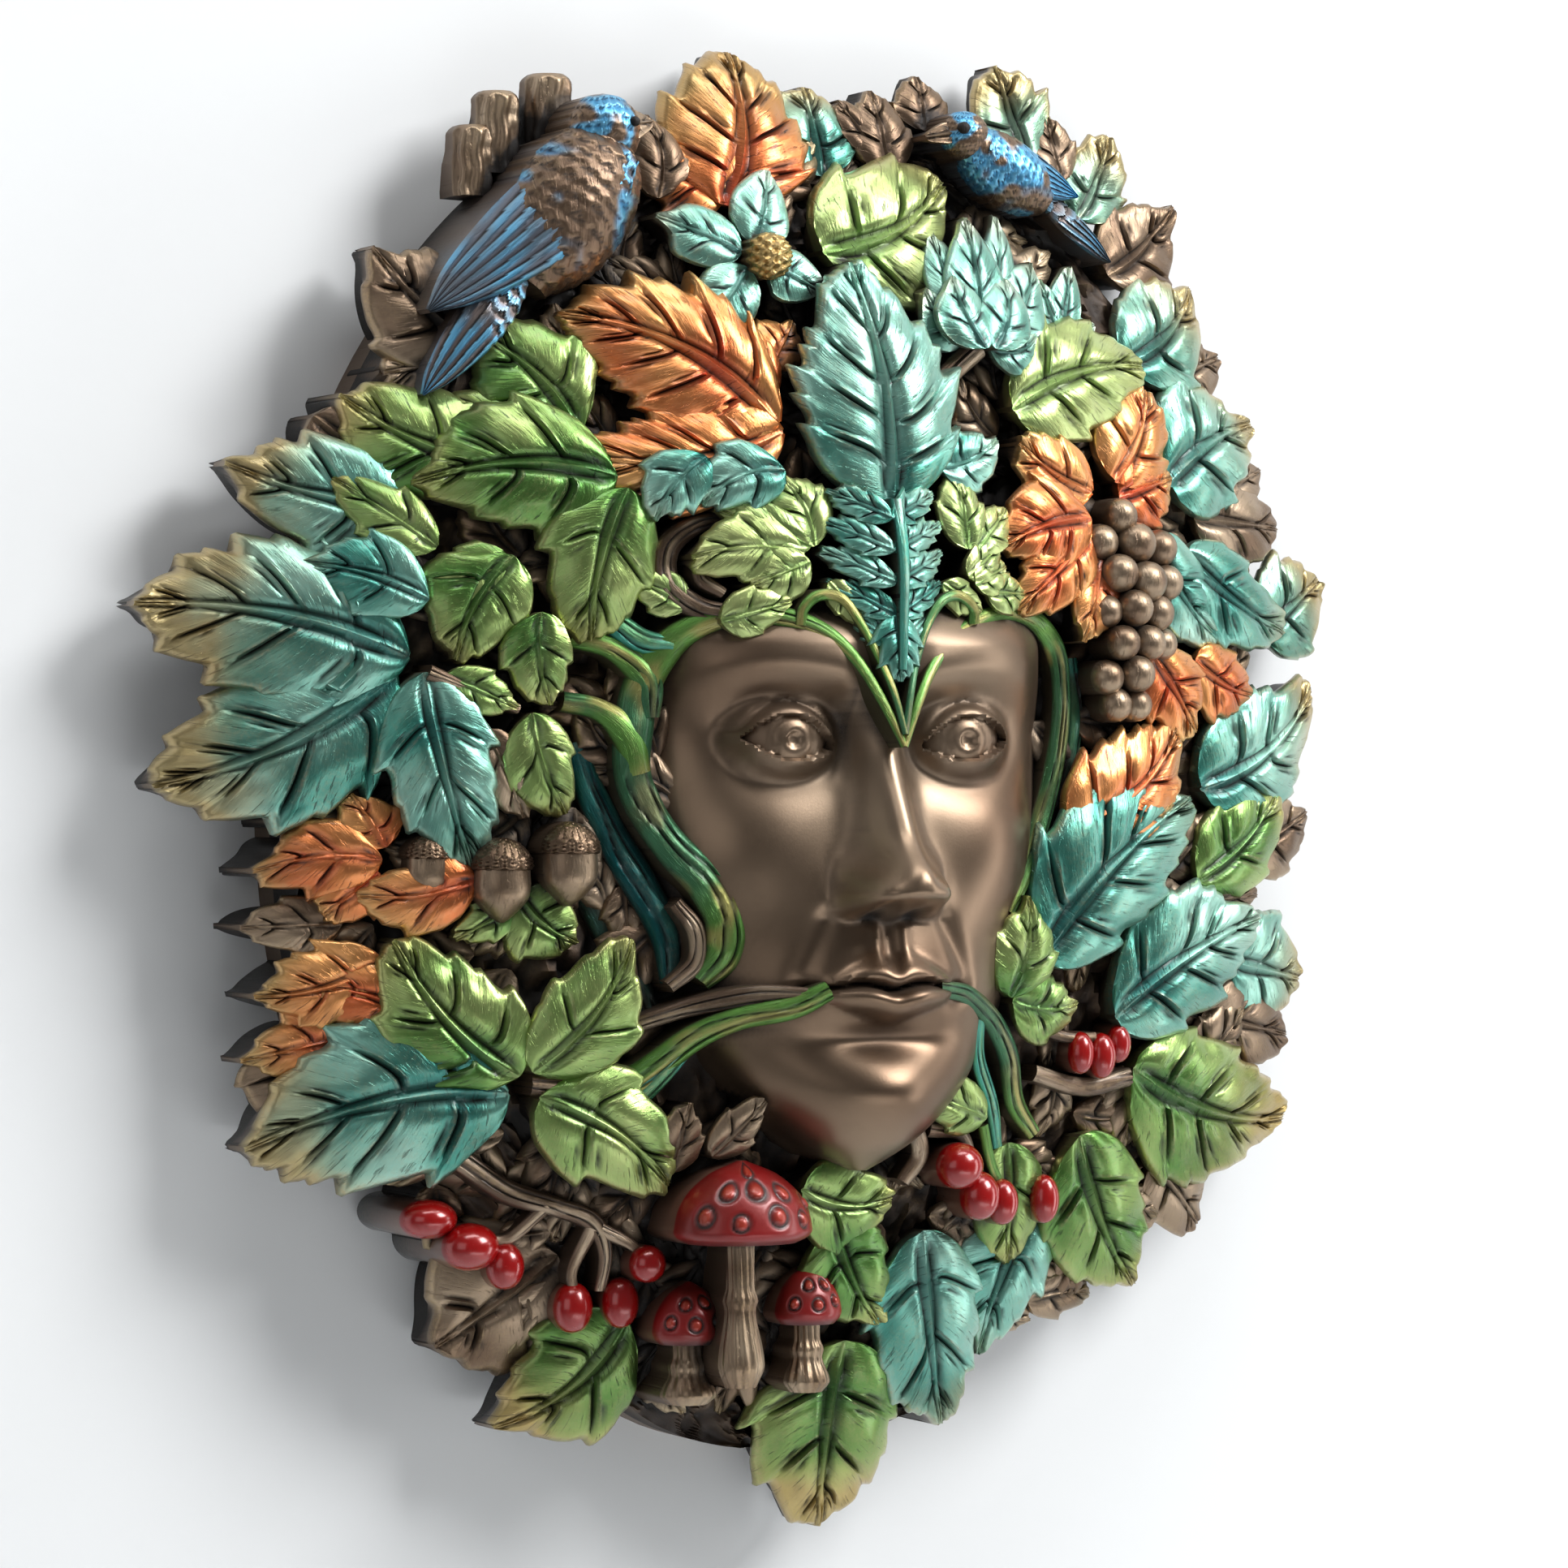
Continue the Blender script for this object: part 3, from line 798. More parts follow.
leafy, sea = ("green", "gold", "tealDark"), ("teal", "green", "bronze")
plain = ("bronze", "bronzeLight", "bronzeDark")
deep = ("tealDark", "teal", "bronzeDark")
vines = [
    # brow bands from the point between the brows, with a loop inside each, down to the curl at the jaw
    (leafy, [[14, 11, 22, 2.2], [9, 22, 20.5, 2.6], [3, 33, 17.5, 3.2], [-5, 40, 15.2, 4.4],
             [-16, 43.5, 12.8, 5.2], [-28, 43, 9, 6], [-38, 38, 5.5, 8], [-45.5, 28, 3.5, 10],
             [-48.5, 16, 3, 10.5], [-49, 4, 3, 10], [-45, -6, 3, 9.5], [-38.5, -15, 4, 9.5],
             [-31.5, -23, 6.5, 10], [-27, -32, 8, 11], [-27, -41, 8, 10], [-32, -48, 5, 6]]),
    (leafy, [[14, 11, 22, 2.2], [19, 22, 20.5, 2.6], [25, 31, 17.5, 3], [33, 38.5, 14.5, 3.6],
             [43, 43.5, 11, 4.2], [54, 45.5, 7.2, 5], [64, 43, 3.8, 5.6], [70.5, 36, 2, 5.6],
             [72.5, 26, 1.2, 5.5], [71.5, 14, 1.2, 5.5], [68.5, 2, 1.6, 5.5], [64, -10, 2.6, 6],
             [58, -22, 4.2, 6.5], [53, -31, 5.8, 5]]),
    (leafy, [[14, 14, 22.6, 1.8], [11.5, 25, 21.2, 2], [8, 35, 18.6, 2.2], [4, 43, 17.2, 2.4],
             [0, 48, 16.4, 2.6], [-5.5, 48.5, 15.4, 2.8], [-9.5, 45, 15, 2.8], [-10, 41, 14.4, 3]]),
    (leafy, [[14, 14, 22.6, 1.8], [16.5, 25, 21.2, 2], [20, 34, 18.6, 2.2], [24, 42, 17.2, 2.4],
             [28.5, 47.5, 16.4, 2.6], [34, 49, 15.2, 2.8], [38.5, 46, 14.4, 2.8], [39, 42, 13.6, 3]]),
    # twigs and folds that run into the band at the left temple
    (leafy, [[-66, 22, 0, 5], [-58, 20, 3, 6], [-51, 14, 4, 8], [-48, 4, 3, 7]]),
    (leafy, [[-64, 38, 1, 5], [-54, 35, 3, 6], [-46, 28, 4, 8], [-45, 18, 3, 5]]),
    (sea, [[-60, 46, 1, 3], [-54, 42, 3, 6], [-47, 37, 4, 7], [-40, 36, 5, 5]]),
    (deep, [[-62, 12, -3, 6], [-58, 0, -2.5, 8], [-52, -12, -2, 9], [-45, -24, -1, 9], [-39, -36, 1, 9],
            [-38, -48, 2, 6]]),
    (deep, [[-66, -2, -6, 8], [-60, -18, -5.5, 9], [-53, -32, -5, 9], [-46, -46, -3, 8], [-42, -56, -2, 6]]),
    (plain, [[-39, -28, 4, 4], [-34, -35, 6, 5], [-34, -43, 6, 5], [-40, -49, 4, 4]]),
    # crescent above the left brow
    (plain, [[-24, 68, 6, 3], [-33, 66, 6, 5], [-40, 60, 5, 7], [-40, 51, 6, 7], [-33, 45, 8, 6],
             [-24, 44, 11, 4]]),
    (plain, [[-24, 60, 8, 2.5], [-31, 58, 7, 4], [-33, 53, 7.5, 4], [-28, 49, 9, 3]]),
    # the right side of the face
    (sea, [[77, 34, -3, 6], [78, 18, -3, 7], [75, 2, -3, 7], [69, -16, -2, 7], [62, -32, -1, 6]]),
    # vines that grow from the mouth
    (leafy, [[-4, -50, 19, 5], [-12, -54, 16, 6], [-24, -57, 11, 6], [-34, -62, 7, 7], [-46, -72, 4, 8],
             [-60, -80, 3, 8]]),
    (plain, [[-6, -51, 18, 3], [-20, -51, 12, 5], [-34, -54, 6, 5], [-46, -58, 3, 4], [-52, -60, 2, 3]]),
    (sea, [[-30, -58, 7, 3], [-40, -70, 4, 6], [-52, -84, 2, 5]]),
    (plain, [[-48, -74, 4, 6], [-60, -74, 5, 6], [-74, -73, 6, 5]]),
    (leafy, [[27, -50, 19, 4], [38, -52, 14, 5], [49, -59, 8, 6], [56, -68, 5, 6], [60, -80, 3, 6],
             [68, -89, 1, 4]]),
    (sea, [[44, -56, 9, 3], [46, -68, 6, 4], [52, -80, 4, 4], [56, -92, 2, 3]]),
    # stalks
    (plain, [[-88, -92, 1, 6], [-76, -100, 1, 6], [-64, -104, 1, 5], [-54, -108, 1, 5], [-50, -116, 1, 4],
             [-50, -126, 0, 3]]),
    (plain, [[-66, -104, 1, 4], [-74, -112, 0, 3], [-80, -112, 1, 2.5]]),
    (plain, [[-54, -110, 1, 4], [-58, -120, 1, 3], [-57, -126, 1, 2.5]]),
    (plain, [[-52, -110, 1, 4], [-44, -114, 1, 3], [-41, -117, 2, 2.5]]),
    (plain, [[36, 97, 4, 6], [42, 106, 4, 6], [51, 114, 6, 7]]),
    (plain, [[26, -80, 6, 5], [32, -92, 4, 5], [28, -100, 3, 4]]),
    (plain, [[34, -86, 4, 5], [44, -88, 3, 4], [48, -96, 4, 3]]),
    (leafy, [[50, -86, 4, 3], [53, -95, 4, 3], [58, -103, 3, 3]]),
    (plain, [[66, -73, 2, 4], [82, -77, 2, 5], [98, -75, 2, 5]]),
    (plain, [[68, -62, 2, 3], [76, -64, 3, 3], [84, -64, 3, 2.5]]),
    (plain, [[-78, 20, 3, 2.5], [-88, 24, 4, 3], [-100, 29, 5, 4]]),
    (plain, [[-112, 88, -3, 4], [-92, 86, 0, 4], [-72, 88, 2, 4]]),
]
cast("vines", [vine(path, bands, 40 + i) for i, (bands, path) in enumerate(vines)], vineFinish, "vine", 0.4)


# Petals are small leaves without teeth; the fern's leaflets hang in pairs on the brow.
petalLook = {"paint": ("mint", "tealLight", "tealDark", "bronzeLight"), "tooth": 0.0, "puff": 0.04,
             "valley": 1.0, "cut": 0.5, "veinGap": 7, "tipWear": 0.5, "ribRub": 0.3}
petals = [[-10, 138, -3, 158, 15, 5, 4, 0], [-14, 136, -35, 145, 15, 5, 4, 0],
          [-13, 132, -25, 116, 15, 5, 4, 0], [-7, 133, 8, 126, 14, 5, 4, 0],
          [50, 116, 36, 128, 14, 4, 6, -3], [52, 118, 64, 149, 12, 4, 2, 2],
          [56, 118, 72, 137, 16, 5, 4, 3], [54, 114, 70, 118, 12, 5, 5, 3],
          [50, 118, 42, 144, 12, 5, 3, -2], [51, 114, 52, 148, 17, 8, 5, 0],
          [50, 113, 44, 132, 16, 11, 8, -2], [53, 113, 60, 132, 15, 11, 8, 2],
          [79, 117, 75, 133, 10, 1, 1, 0], [80, 118, 86, 137, 10, 1, 1, 0], [80, 117, 92, 122, 10, 1, 1, 0]]
cast("petals", [leaf(row, petalLook, 90 + i) for i, row in enumerate(petals)], leafFinish, "teal_leaf")

fern = {"topZ": 71, "footZ": 27, "lift": 17,
        "pairs": [[15, 75, 7.5], [17, 67.5, 7.5], [17, 60, 7.5], [16, 52.5, 7], [12, 45, 6]]}
fernLook = {"paint": ("teal", "tealLight", "tealDark", "tealLight"), "tooth": 0.3, "puff": 0.12,
            "veinGap": 4.5, "valley": 1.0}


def fernRows():
    x, count = face["centreX"] + 1, len(fern["pairs"])
    for i, (reach, tipZ, width) in enumerate(fern["pairs"]):
        rootZ = mix(fern["topZ"], fern["footZ"], (i + 0.35) / (count + 0.4))
        for way in (-1, 1):
            yield [x, rootZ, x + way * reach, tipZ, width, fern["lift"] + 2, fern["lift"] - reach * 0.28, 0]
    yield [x, 44, x, fern["footZ"], 12, fern["lift"] + 2, fern["lift"] + 3, 0]


fernStem = vine([[16, 73, 19, 3.6], [16, 58, 21, 3], [15, 44, 21.5, 2.6], [14, 30, 22, 2]],
                ("teal", "tealLight", "teal"), 7)
cast("fern", [leaf(row, fernLook, 130 + i) for i, row in enumerate(fernRows())] + [fernStem], leafFinish,
     "teal_leaf")
print("flowers and fern cast")


# Round forms stand out of the ground: half widths at places along a length, round in front.
def swelling(x, z, turn, places, lift, paintAt, depth=0.9, rows=40, columns=33, shapeAt=None):
    angle = math.radians(turn)
    along = (math.cos(angle), math.sin(angle))
    runs, halves = (np.array(column, float) for column in zip(*places))
    s = np.linspace(0, 1, rows)
    s = (1 - np.cos(np.pi * s)) / 2
    run = mix(runs.min(), runs.max(), s)
    order = np.argsort(runs)
    table = list(zip(runs[order], halves[order]))
    half = np.maximum(0.05, curve(run, table))
    turnAt = np.linspace(-math.pi / 2, math.pi / 2, columns)
    r, w = np.meshgrid(run, turnAt, indexing="ij")
    width = np.broadcast_to(half[:, None], r.shape)
    bump = 0 if shapeAt is None else shapeAt(r, w, width)
    px = x + along[0] * r + along[1] * (width + bump) * np.sin(w)
    pz = z + along[1] * r - along[0] * (width + bump) * np.sin(w)
    h = domeHeight(x, z) + lift + (width * depth + bump) * np.cos(w)
    paint, dark, rub = paintAt(px, pz, h, r, w)
    return front(np.stack([px, -h, pz], -1), paint, dark, rub, footUnder(px, pz, h))


def plainPaint(name, light, seed, rub=0.3):
    def paintAt(x, z, h, r, w):
        shade = tint(paints[name], paints[light], np.clip(0.25 + 0.3 * noise(x, z, 5, seed), 0, 1))
        return shade, 0.25 * smooth(np.abs(w), 1.1, 1.57), rub * np.cos(w) ** 4
    return paintAt


grapes = [[84, 64, 4.8, 5], [91, 71, 4.8, 5], [95, 64, 5.6, 6], [105, 63, 5, 3], [88, 56, 5, 8],
          [97, 54, 5.4, 8], [106, 54, 4.8, 4], [92, 47, 4.8, 9], [101, 46, 4.8, 6], [84, 46, 4.4, 6],
          [88, 38, 4.6, 8], [97, 38, 4.8, 7], [104, 38, 4.4, 3], [84, 29, 4.6, 5], [93, 30, 4.8, 7],
          [87, 22, 4.6, 4], [94, 22, 4.4, 4]]


def roundPlaces(across, up):
    angle = np.linspace(-math.pi / 2, math.pi / 2, 9)
    return [(up * math.sin(a), across * math.cos(a)) for a in angle]


cast("grapes", [swelling(x, z, 90, roundPlaces(r, r), lift, plainPaint("bronze", "bronzeLight", i), 1.0, 18, 19)
                for i, (x, z, r, lift) in enumerate(grapes)], bronzeFinish, "bronze", 0.3)

berries = [[-94, -107, 7.5, 5, -2], [-84, -114, 7.5, 6, 0], [-75, -119, 5, 6, 0], [-57, -130, 5.2, 6.5, 0],
           [-45, -129, 4.8, 6.5, 0], [-40, -119, 4.8, 4.8, 2], [42, -96, 6.4, 6, 6],
           [49, -104, 5.4, 6.4, 6], [57, -106, 4.2, 6, 5], [72, -106, 4, 6.4, 2], [79, -68, 3.6, 5.5, 3],
           [86, -69, 3.8, 6, 3], [92, -66, 3.4, 5, 2]]
cast("berries", [swelling(x, z, 90, roundPlaces(across, up), lift, plainPaint("red", "red", i, 0.1), 1.0, 22,
                          21)
                 for i, (x, z, across, up, lift) in enumerate(berries)], berryFinish, "berry", 0.3)
print("fruit cast")


# Acorns: a smooth nut in a scaly cup
acorns = [[-82, -16, 7, 2], [-66, -12, 7, 3], [-99, -14, 5.5, 0]]


def acorn(x, z, radius, lift):
    nut = [(-radius * 2.4, 0.3), (-radius * 2.2, radius * 0.35), (-radius * 1.5, radius * 0.95),
           (-radius * 0.4, radius)]
    cup = [(-radius * 0.55, radius * 0.98), (-radius * 0.45, radius * 1.1), (0, radius),
           (radius * 0.45, radius * 0.55), (radius * 0.6, radius * 0.15)]
    scales = lambda r, w, width: 0.35 * np.cos(r * 3.4) * np.cos(w * 11 + np.floor(r * 1.08) * 3.1)
    return [swelling(x, z, 90, nut, lift, plainPaint("bronze", "bronzeLight", 3, 0.5), 0.95, 24, 25),
            swelling(x, z, 90, cup, lift, plainPaint("bronze", "bronzeDark", 4, 0.3), 0.95, 30, 49, scales)]


# Toadstools: a domed cap with ringed spots, on a fluted stem that swells towards its foot
toadstools = [
    {"x": -19, "capZ": -112, "radius": 18.5, "rise": 19, "footZ": -150, "stem": 4.6, "lift": 9,
     "spots": [(-52, 0.30, 2.6), (-20, 0.22, 2.2), (14, 0.30, 2.7), (44, 0.24, 2.2), (-34, 0.62, 2.3),
               (-4, 0.64, 2.5), (28, 0.60, 2.2), (-8, 0.88, 1.7), (62, 0.45, 1.9)]},
    {"x": -28, "capZ": -138, "radius": 10, "rise": 14, "footZ": -155, "stem": 5.5, "lift": 5,
     "spots": [ (-50, 0.30, 1.7), (-8, 0.26, 1.9), (34, 0.30, 1.7), (-26, 0.62, 1.6), (16, 0.66, 1.6)]},
    {"x": 4, "capZ": -134, "radius": 9, "rise": 13, "footZ": -153, "stem": 4.5, "lift": 4,
     "spots": [ (-44, 0.30, 1.6), (0, 0.28, 1.7), (40, 0.34, 1.5), (-18, 0.66, 1.5), (24, 0.66, 1.4)]},
]


def toadstool(look):
    radius, rise = look["radius"], look["rise"]
    cap = [(-1.6, radius * 0.78), (0, radius * 0.95), (2, radius), (rise * 0.5, radius * 0.86),
           (rise * 0.82, radius * 0.5), (rise, radius * 0.06)]
    down = look["footZ"] - look["capZ"]
    foot = [(down, look["stem"] * 0.9), (down * 0.85, look["stem"] * 1.35), (down * 0.5, look["stem"] * 0.85),
            (1, look["stem"] * 0.8)]

    def spotAt(r, w):
        ring, button = 0, 0
        for angle, share, size in look["spots"]:
            away = np.hypot((w - math.radians(angle)) * radius * math.cos(share * 1.2), r - share * rise)
            ring = np.maximum(ring, bell(away - size, size * 0.22))
            button = np.maximum(button, 1 - smooth(away, size * 0.45, size * 0.85))
        return ring, button

    def capPaint(x, z, h, r, w):
        ring, button = spotAt(r, w)
        shade = tint(paints["capRed"], paints["bronzeDark"], np.clip(0.3 * noise(x, z, 6, 6) + 0.1, 0, 1))
        shade = tint(shade, paints["redOrange"], 0.5 * button)
        return shade, np.clip(0.95 * ring + 0.6 * (1 - smooth(r, -1.6, 0.3)), 0, 1), 0.4 * button

    flutes = lambda r, w, width: 0.22 * np.cos(w * 14 + r * 0.15) + 0.9 * bell(r - down * 0.42, 1.6)
    spots = lambda r, w, width: 0.6 * spotAt(r, w)[1] - 0.5 * spotAt(r, w)[0]
    cap = swelling(look["x"], look["capZ"], 90, cap, look["lift"], capPaint, 0.8, 64, 77, spots)
    stem = swelling(look["x"], look["capZ"], 90, foot, look["lift"] - 1,
                    plainPaint("bronze", "bronzeLight", 8, 0.5), 0.9,
                    44, 41, flutes)
    return cap, stem


capsAndStems = [toadstool(look) for look in toadstools]
cast("toadstool_caps", [cap for cap, stem in capsAndStems], capFinish, "toadstool", 0.6)

logs = [[-76, 150, 168, 10], [-69, 156, 177, 11], [-55, 160, 182, 12], [-42, 158, 175, 10]]


def log(x, lowZ, topZ, width):
    places = [(lowZ - topZ, width / 2), (-3, width / 2), (-1, width * 0.47), (0, width * 0.36)]
    ridges = lambda r, w: 0.45 * np.cos(w * 8 + 0.5 * np.sin(r * 0.7)) * smooth(-r, 0.8, 2)
    bark = lambda r, w, wide: ridges(r, w) + 0.3 * noise(r, w * 4, 2, 3)
    return swelling(x, topZ, 90, places, -2, plainPaint("bronze", "bronzeLight", 12, 0.6), 0.9, 36, 33, bark)


# Knob of the open flower: a heap of small seeds
def knob():
    lumps = lambda r, w, width: 0.7 * np.cos(r * 2.6) * np.cos(w * 6.5)
    return swelling(-8, 135, 90, roundPlaces(6, 6), 7, plainPaint("gold", "gold", 5, 0.6), 0.9, 36, 37, lumps)


acornSheets = [sheet for row in acorns for sheet in acorn(*row)]
cast("stems_and_nuts", [*acornSheets, *(stem for cap, stem in capsAndStems), *(log(*row) for row in logs),
                        knob()],
     bronzeFinish, "bronze", 0.4)
print("toadstools, logs and nuts cast")


# Birds: body and head in small scaly feathers, a beak, an eye, and the folded wing and the tail in long
# feathers that overlap.
birds = [
    {"body": (-58, 145, 22, 15), "turn": 57, "head": (-48, 166, 9.5), "beak": (-35, 169),
     "neck": (-51, 158, 10, 9), "wing": (-45, 160, -96, 119, 21), "tail": (-72, 130, -98, 98, 12),
     "lift": 4, "eye": (-42.5, 168, 1.3), "blueBack": 0.0, "neckTurn": 62, "beakRoot": 2},
    {"body": (69, 161, 14, 9), "turn": 150, "head": (56, 170, 6.6), "beak": (44, 169),
     "neck": (60, 167, 6.5, 6), "wing": (61, 167, 91, 156, 12), "tail": (80, 155, 100, 139, 7.5), "lift": 2,
     "eye": (53.5, 171.5, 1.7), "blueBack": 1.0, "neckTurn": 140, "beakRoot": -2},
]
beakLook = {"paint": ("bronze", "bronzeLight", "bronzeDark", "bronze"), "tooth": 0, "puff": 0, "valley": 0,
            "cut": 0}
wingShape = [(0, 0.35), (0.12, 0.8), (0.35, 1.0), (0.6, 0.86), (0.85, 0.5), (1, 0.06)]


def scallops(a, b, size, seed):             # 0 at the root of each small feather, 1 at its tip
    row = a / size + 0.3 * noise(a, b, size * 2.1, seed)
    lane = b / size * 0.9 + 0.5 * (np.floor(row) % 2) + 0.25 * noise(a, b, size * 1.7, seed + 1)
    lane = lane - np.floor(lane) - 0.5
    step = row - np.floor(row) + 1.6 * lane ** 2
    return step - np.floor(step)


def plumage(size, crown, seed):
    feathers = lambda r, w, width: 0.16 * scallops(-r, w * width, size, seed)
    shapeAt = lambda r, w, width: size * feathers(r, w, width) + 0.05 * size * noise(r, w * 9, size, 6)

    def paintAt(x, z, h, r, w):
        step = scallops(-r, w * 9, size, seed)
        patch = smooth(noise(x, z, size * 1.5, seed) + crown(x, z), 0.0, 0.5)
        paint = tint(paints["bronze"], tint(paints["blue"], paints["blueLight"], step), patch)
        return paint, np.clip(0.8 * (1 - smooth(step, 0, 0.3)), 0, 1), 0.5 * smooth(step, 0.5,
                                                                                    0.9) * (1 - 0.6 * patch)
    return shapeAt, paintAt


def wing(row, lifts, feathers, seed, blueness):
    baseX, baseZ, tipX, tipZ, width = row
    length = math.hypot(tipX - baseX, tipZ - baseZ)
    alongX, alongZ = (tipX - baseX) / length, (tipZ - baseZ) / length
    u, v = np.meshgrid(np.linspace(0, 1, 70), np.linspace(-1, 1, 61), indexing="ij")
    half = width / 2 * curve(u, wingShape)
    lane = (v * 0.5 + 0.5) * feathers + 0.9 * u + 0.25 * noise(u * 9, v * 2, 3, seed)
    step = lane - np.floor(lane)
    quill = bell(step - 0.55, 0.08)
    small = scallops(u * length, v * half, 3.4, seed + 1)
    covert = 1 - smooth(u + 0.15 * v, 0.3, 0.42)
    step = mix(step, small, covert)
    lateral = half * v * (1 + 0.05 * step * smooth(np.abs(v), 0.6, 1))
    x, z = baseX + alongX * u * length + alongZ * lateral, baseZ + alongZ * u * length - alongX * lateral
    h = domeHeight(x, z) + mix(*lifts, u) + 0.05 * length * np.sin(np.pi * u) - 0.22 * half * 2 * v * v
    h += 0.9 * step * (1 - 0.5 * u) + 0.35 * quill * (1 - covert) - 0.8 * smooth(np.abs(v), 0.9, 1)
    tone = np.clip(smooth(step, 0.25, 0.7) * (0.55 + 0.6 * noise(x, z, 7, seed + 2)) + blueness, 0, 1)
    paint = tint(paints["bronze"], tint(paints["blue"], paints["blueLight"], step), tone)
    dark = np.clip(1 - smooth(step, 0.02, 0.26), 0, 1)
    lines = np.stack([lateral * 2.5 + seed, u * length], -1)
    return front(np.stack([x, -h, z], -1), paint, dark, 0.5 * smooth(step, 0.7, 1) * (1 - tone),
                 footUnder(x, z, h), lines)


def bird(look, seed):
    x, z, long, short = look["body"]
    headX, headZ, headRadius = look["head"]
    neckX, neckZ, neckLong, neckHalf = look["neck"]
    lift, blueBack = look["lift"], look["blueBack"]
    body = [(-long, short * 0.4), (-long * 0.6, short * 0.82), (-long * 0.1, short), (long * 0.4, short * 0.97),
            (long * 0.8, short * 0.75), (long, short * 0.45)]
    neck = [(-neckLong, neckHalf), (0, neckHalf * 1.05), (neckLong * 0.7, neckHalf * 0.9)]
    small = short / 3.8
    shape, paint = plumage(small, lambda px, pz: 0.9 * blueBack - 0.45, seed)
    crown = lambda px, pz: 0.9 * smooth(pz - headZ + 0.5 * (headX - px), -3, 2) - 0.5
    headShape, headPaint = plumage(small * 0.62, crown, seed + 1)
    sheets = [
        swelling(x, z, look["turn"], body, lift, paint, 0.9, 88, 65, shape),
        swelling(neckX, neckZ, look["neckTurn"], neck, lift + short * 0.2, paint, 0.95, 42, 51, shape),
        swelling(headX, headZ, 90, roundPlaces(headRadius, headRadius), lift + short * 0.35, headPaint, 0.95,
                 58, 55, headShape),
        wing(look["wing"], (lift + short * 0.85, lift + short * 0.25), 6, seed + 2, 0.25 + 0.3 * blueBack),
        wing(look["tail"], (lift + short * 0.2, lift), 4, seed + 3, 0.1),
        leaf([headX + look["beakRoot"], headZ + 1, *look["beak"], headRadius * 0.8, lift + short * 0.7, lift
              + short * 0.4,
              0], beakLook, seed + 4),
    ]
    eyeX, eyeZ, radius = look["eye"]
    socket = lambda px, pz, h, r, w: (paints["bronzeDark"], 0.9, 0.0)
    eyeLift = lift + short * 0.35 + headRadius * 0.82
    sheets.append(swelling(eyeX, eyeZ, 90, roundPlaces(radius, radius), eyeLift, socket, 1, 12, 13))
    return sheets


cast("birds", [sheet for i, look in enumerate(birds) for sheet in bird(look, 160 + 10 * i)], birdFinish,
     "bird", 0.4)
print("birds cast")


# Wash gathers wherever a form lies lower than what stands round it, and what stands proud is rubbed.
field = {"left": -185, "low": -205, "cell": 1.0, "columns": 372, "rows": 412, "near": 3, "far": 9}


def blurred(values, radius):
    for axis in (0, 1):
        for repeat in range(2):
            padded = np.pad(values, [(radius + 1, radius) if k == axis else (0, 0) for k in (0, 1)],
                            mode="edge")
            total = np.cumsum(padded, axis=axis)
            size = values.shape[axis]
            ahead = np.take(total, range(2 * radius + 1, 2 * radius + 1 + size), axis=axis)
            values = (ahead - np.take(total, range(size), axis=axis)) / (2 * radius + 1)
    return values


def cellsOf(points):
    return (((points[:, 0] - field["left"]) / field["cell"]).astype(int),
            ((points[:, 2] - field["low"]) / field["cell"]).astype(int))


def settleWash():
    heights = np.zeros((field["columns"], field["rows"]))
    for piece, slot in pieces:
        points = readPoints(piece.data)
        i, j = cellsOf(points)
        np.maximum.at(heights, (i, j), -points[:, 1])
    shifted = [np.roll(heights, (a, b), (0, 1)) for a in (-1, 0, 1) for b in (-1, 0, 1)]
    heights = np.where(heights < np.median(shifted, 0) - 3, np.median(shifted, 0), heights)
    near, far = blurred(heights, field["near"]), blurred(heights, field["far"])
    for piece, slot in pieces:
        if piece.name == "back":
            continue
        mesh = piece.data
        points = readPoints(mesh)
        i, j = cellsOf(points)
        h = -points[:, 1]
        hollow = 0.75 * smooth(near[i, j] - h, 0.3, 4.5) + 0.4 * smooth(far[i, j] - h, 1, 12)
        proud = smooth(h - near[i, j], 0.2, 3.0)
        dark = np.clip(readValues(mesh, "wash") + hollow, 0, 1)
        rub = np.clip(readValues(mesh, "rub") * (0.4 + 0.8 * proud), 0, 1)
        mesh.attributes["wash"].data.foreach_set("value", dark.astype(np.float32))
        mesh.attributes["rub"].data.foreach_set("value", rub.astype(np.float32))


settleWash()
print("wash settled")


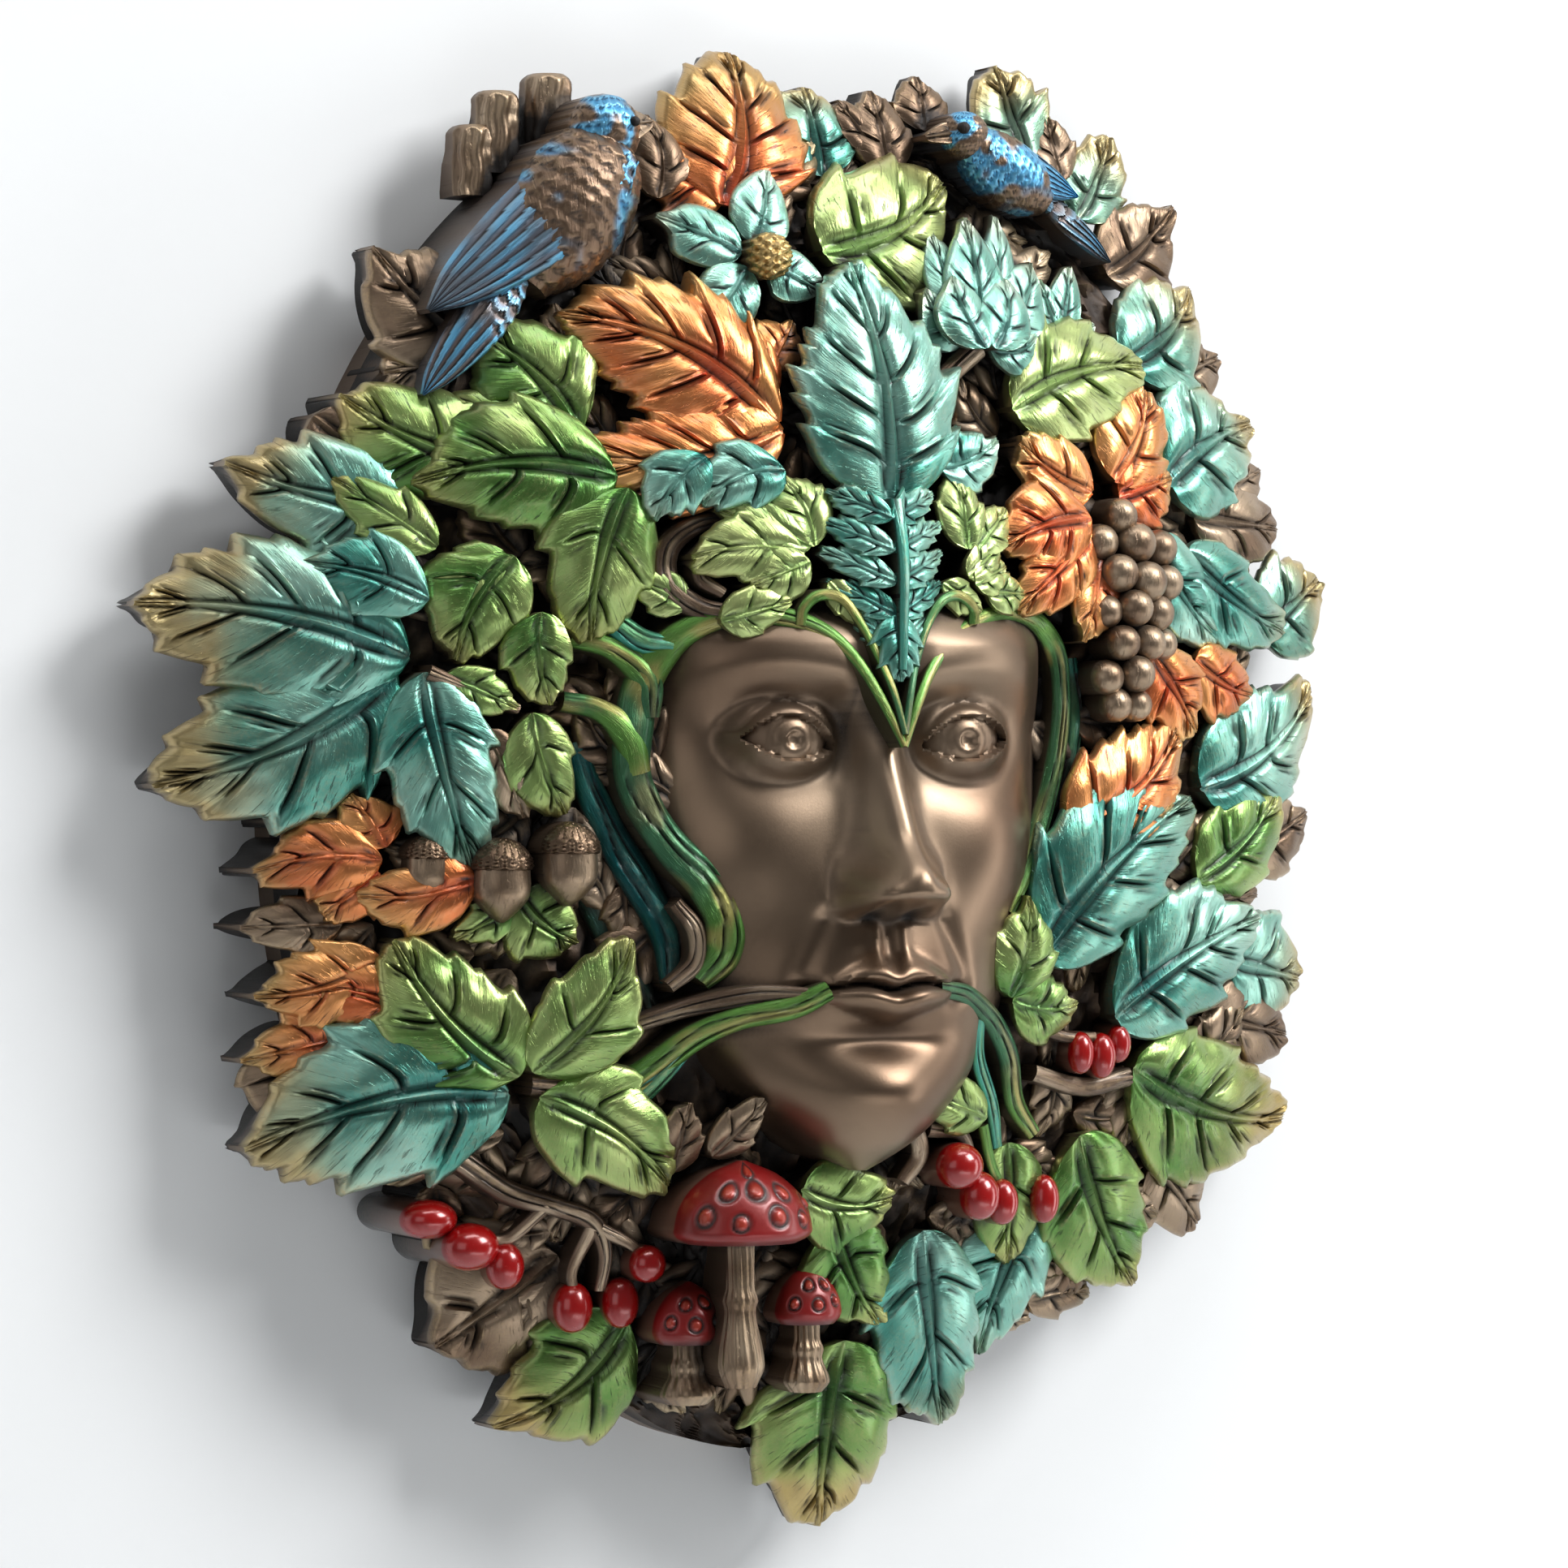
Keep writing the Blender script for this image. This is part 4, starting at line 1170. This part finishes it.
# The pale wall is seen from its front only, so that the back can be looked at through it.
def plainPlane(name, size, location, rotation, shade, oneSided):
    bpy.ops.object.select_all(action="DESELECT")
    bpy.ops.mesh.primitive_plane_add(size=size, location=location, rotation=rotation)
    plane = bpy.context.object
    plane.name = plane.data.name = name
    make = Material(name, {"Base Color": (*shade, 1), "Roughness": 0.9, "Specular IOR Level": 0.2})
    if oneSided:
        behind = make.node("ShaderNodeNewGeometry", {}, {}, "Backfacing")
        clear = make.node("ShaderNodeBsdfTransparent", {}, {})
        solid = Value(make, make.shader.outputs[0])
        both = make.node("ShaderNodeMixShader", {}, {0: behind, 1: solid, 2: clear})
        make.tree.links.new(both.socket, make.tree.nodes["Material Output"].inputs["Surface"])
    plane.data.materials.append(make.material)
    plane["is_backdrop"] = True


stage = {"wallY": -0.5, "floorZ": -1300, "pale": colour(236, 238, 239)}
plainPlane("wall", 9, (0, stage["wallY"] * mm, 0), (math.pi / 2, 0, 0), stage["pale"], True)
plainPlane("floor", 9, (0, 0, stage["floorZ"] * mm), (0, 0, 0), stage["pale"], False)

lights = {
    "key": {"at": (1.15, -1.2, 1.25), "size": (0.9, 0.9), "power": 47},
    "fill": {"at": (-1.7, -1.3, 0.35), "size": (1.2, 1.4), "power": 4.5},
    "top": {"at": (0.0, -0.7, 1.7), "size": (1.6, 0.35), "power": 14},
    "side": {"at": (1.6, -0.7, -0.2), "size": (0.4, 1.6), "power": 9},
    "low": {"at": (0.3, -1.6, -1.1), "size": (1.8, 0.4), "power": 4},
    "behind": {"at": (-0.8, 1.8, 0.9), "size": (1.8, 1.8), "power": 30},
}
for name, light in lights.items():
    toMiddle = np.array([0.0, -0.04, 0.0]) - np.array(light["at"])
    flat = math.hypot(toMiddle[0], toMiddle[1])
    rotation = (math.atan2(flat, -toMiddle[2]), 0, math.atan2(-toMiddle[0], toMiddle[1]))
    bpy.ops.object.light_add(type="AREA", location=light["at"], rotation=rotation)
    lamp = bpy.context.object
    lamp.name = name
    lamp.data.shape = "RECTANGLE"
    lamp.data.size, lamp.data.size_y = light["size"]
    lamp.data.energy = light["power"]
world = bpy.data.worlds.new("studio")
world.use_nodes = True
world.node_tree.nodes["Background"].inputs["Color"].default_value = (0.09, 0.092, 0.095, 1)
world.node_tree.nodes["Background"].inputs["Strength"].default_value = 1.0
bpy.context.scene.world = world
print("stage lit")

for piece, slot in pieces:
    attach(piece, "root")
    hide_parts("plaque")

plainBox = lambda box: [list(map(float, corner)) for corner in box]
{"cad": plainBox(cadBox), "visual": plainBox(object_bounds())}
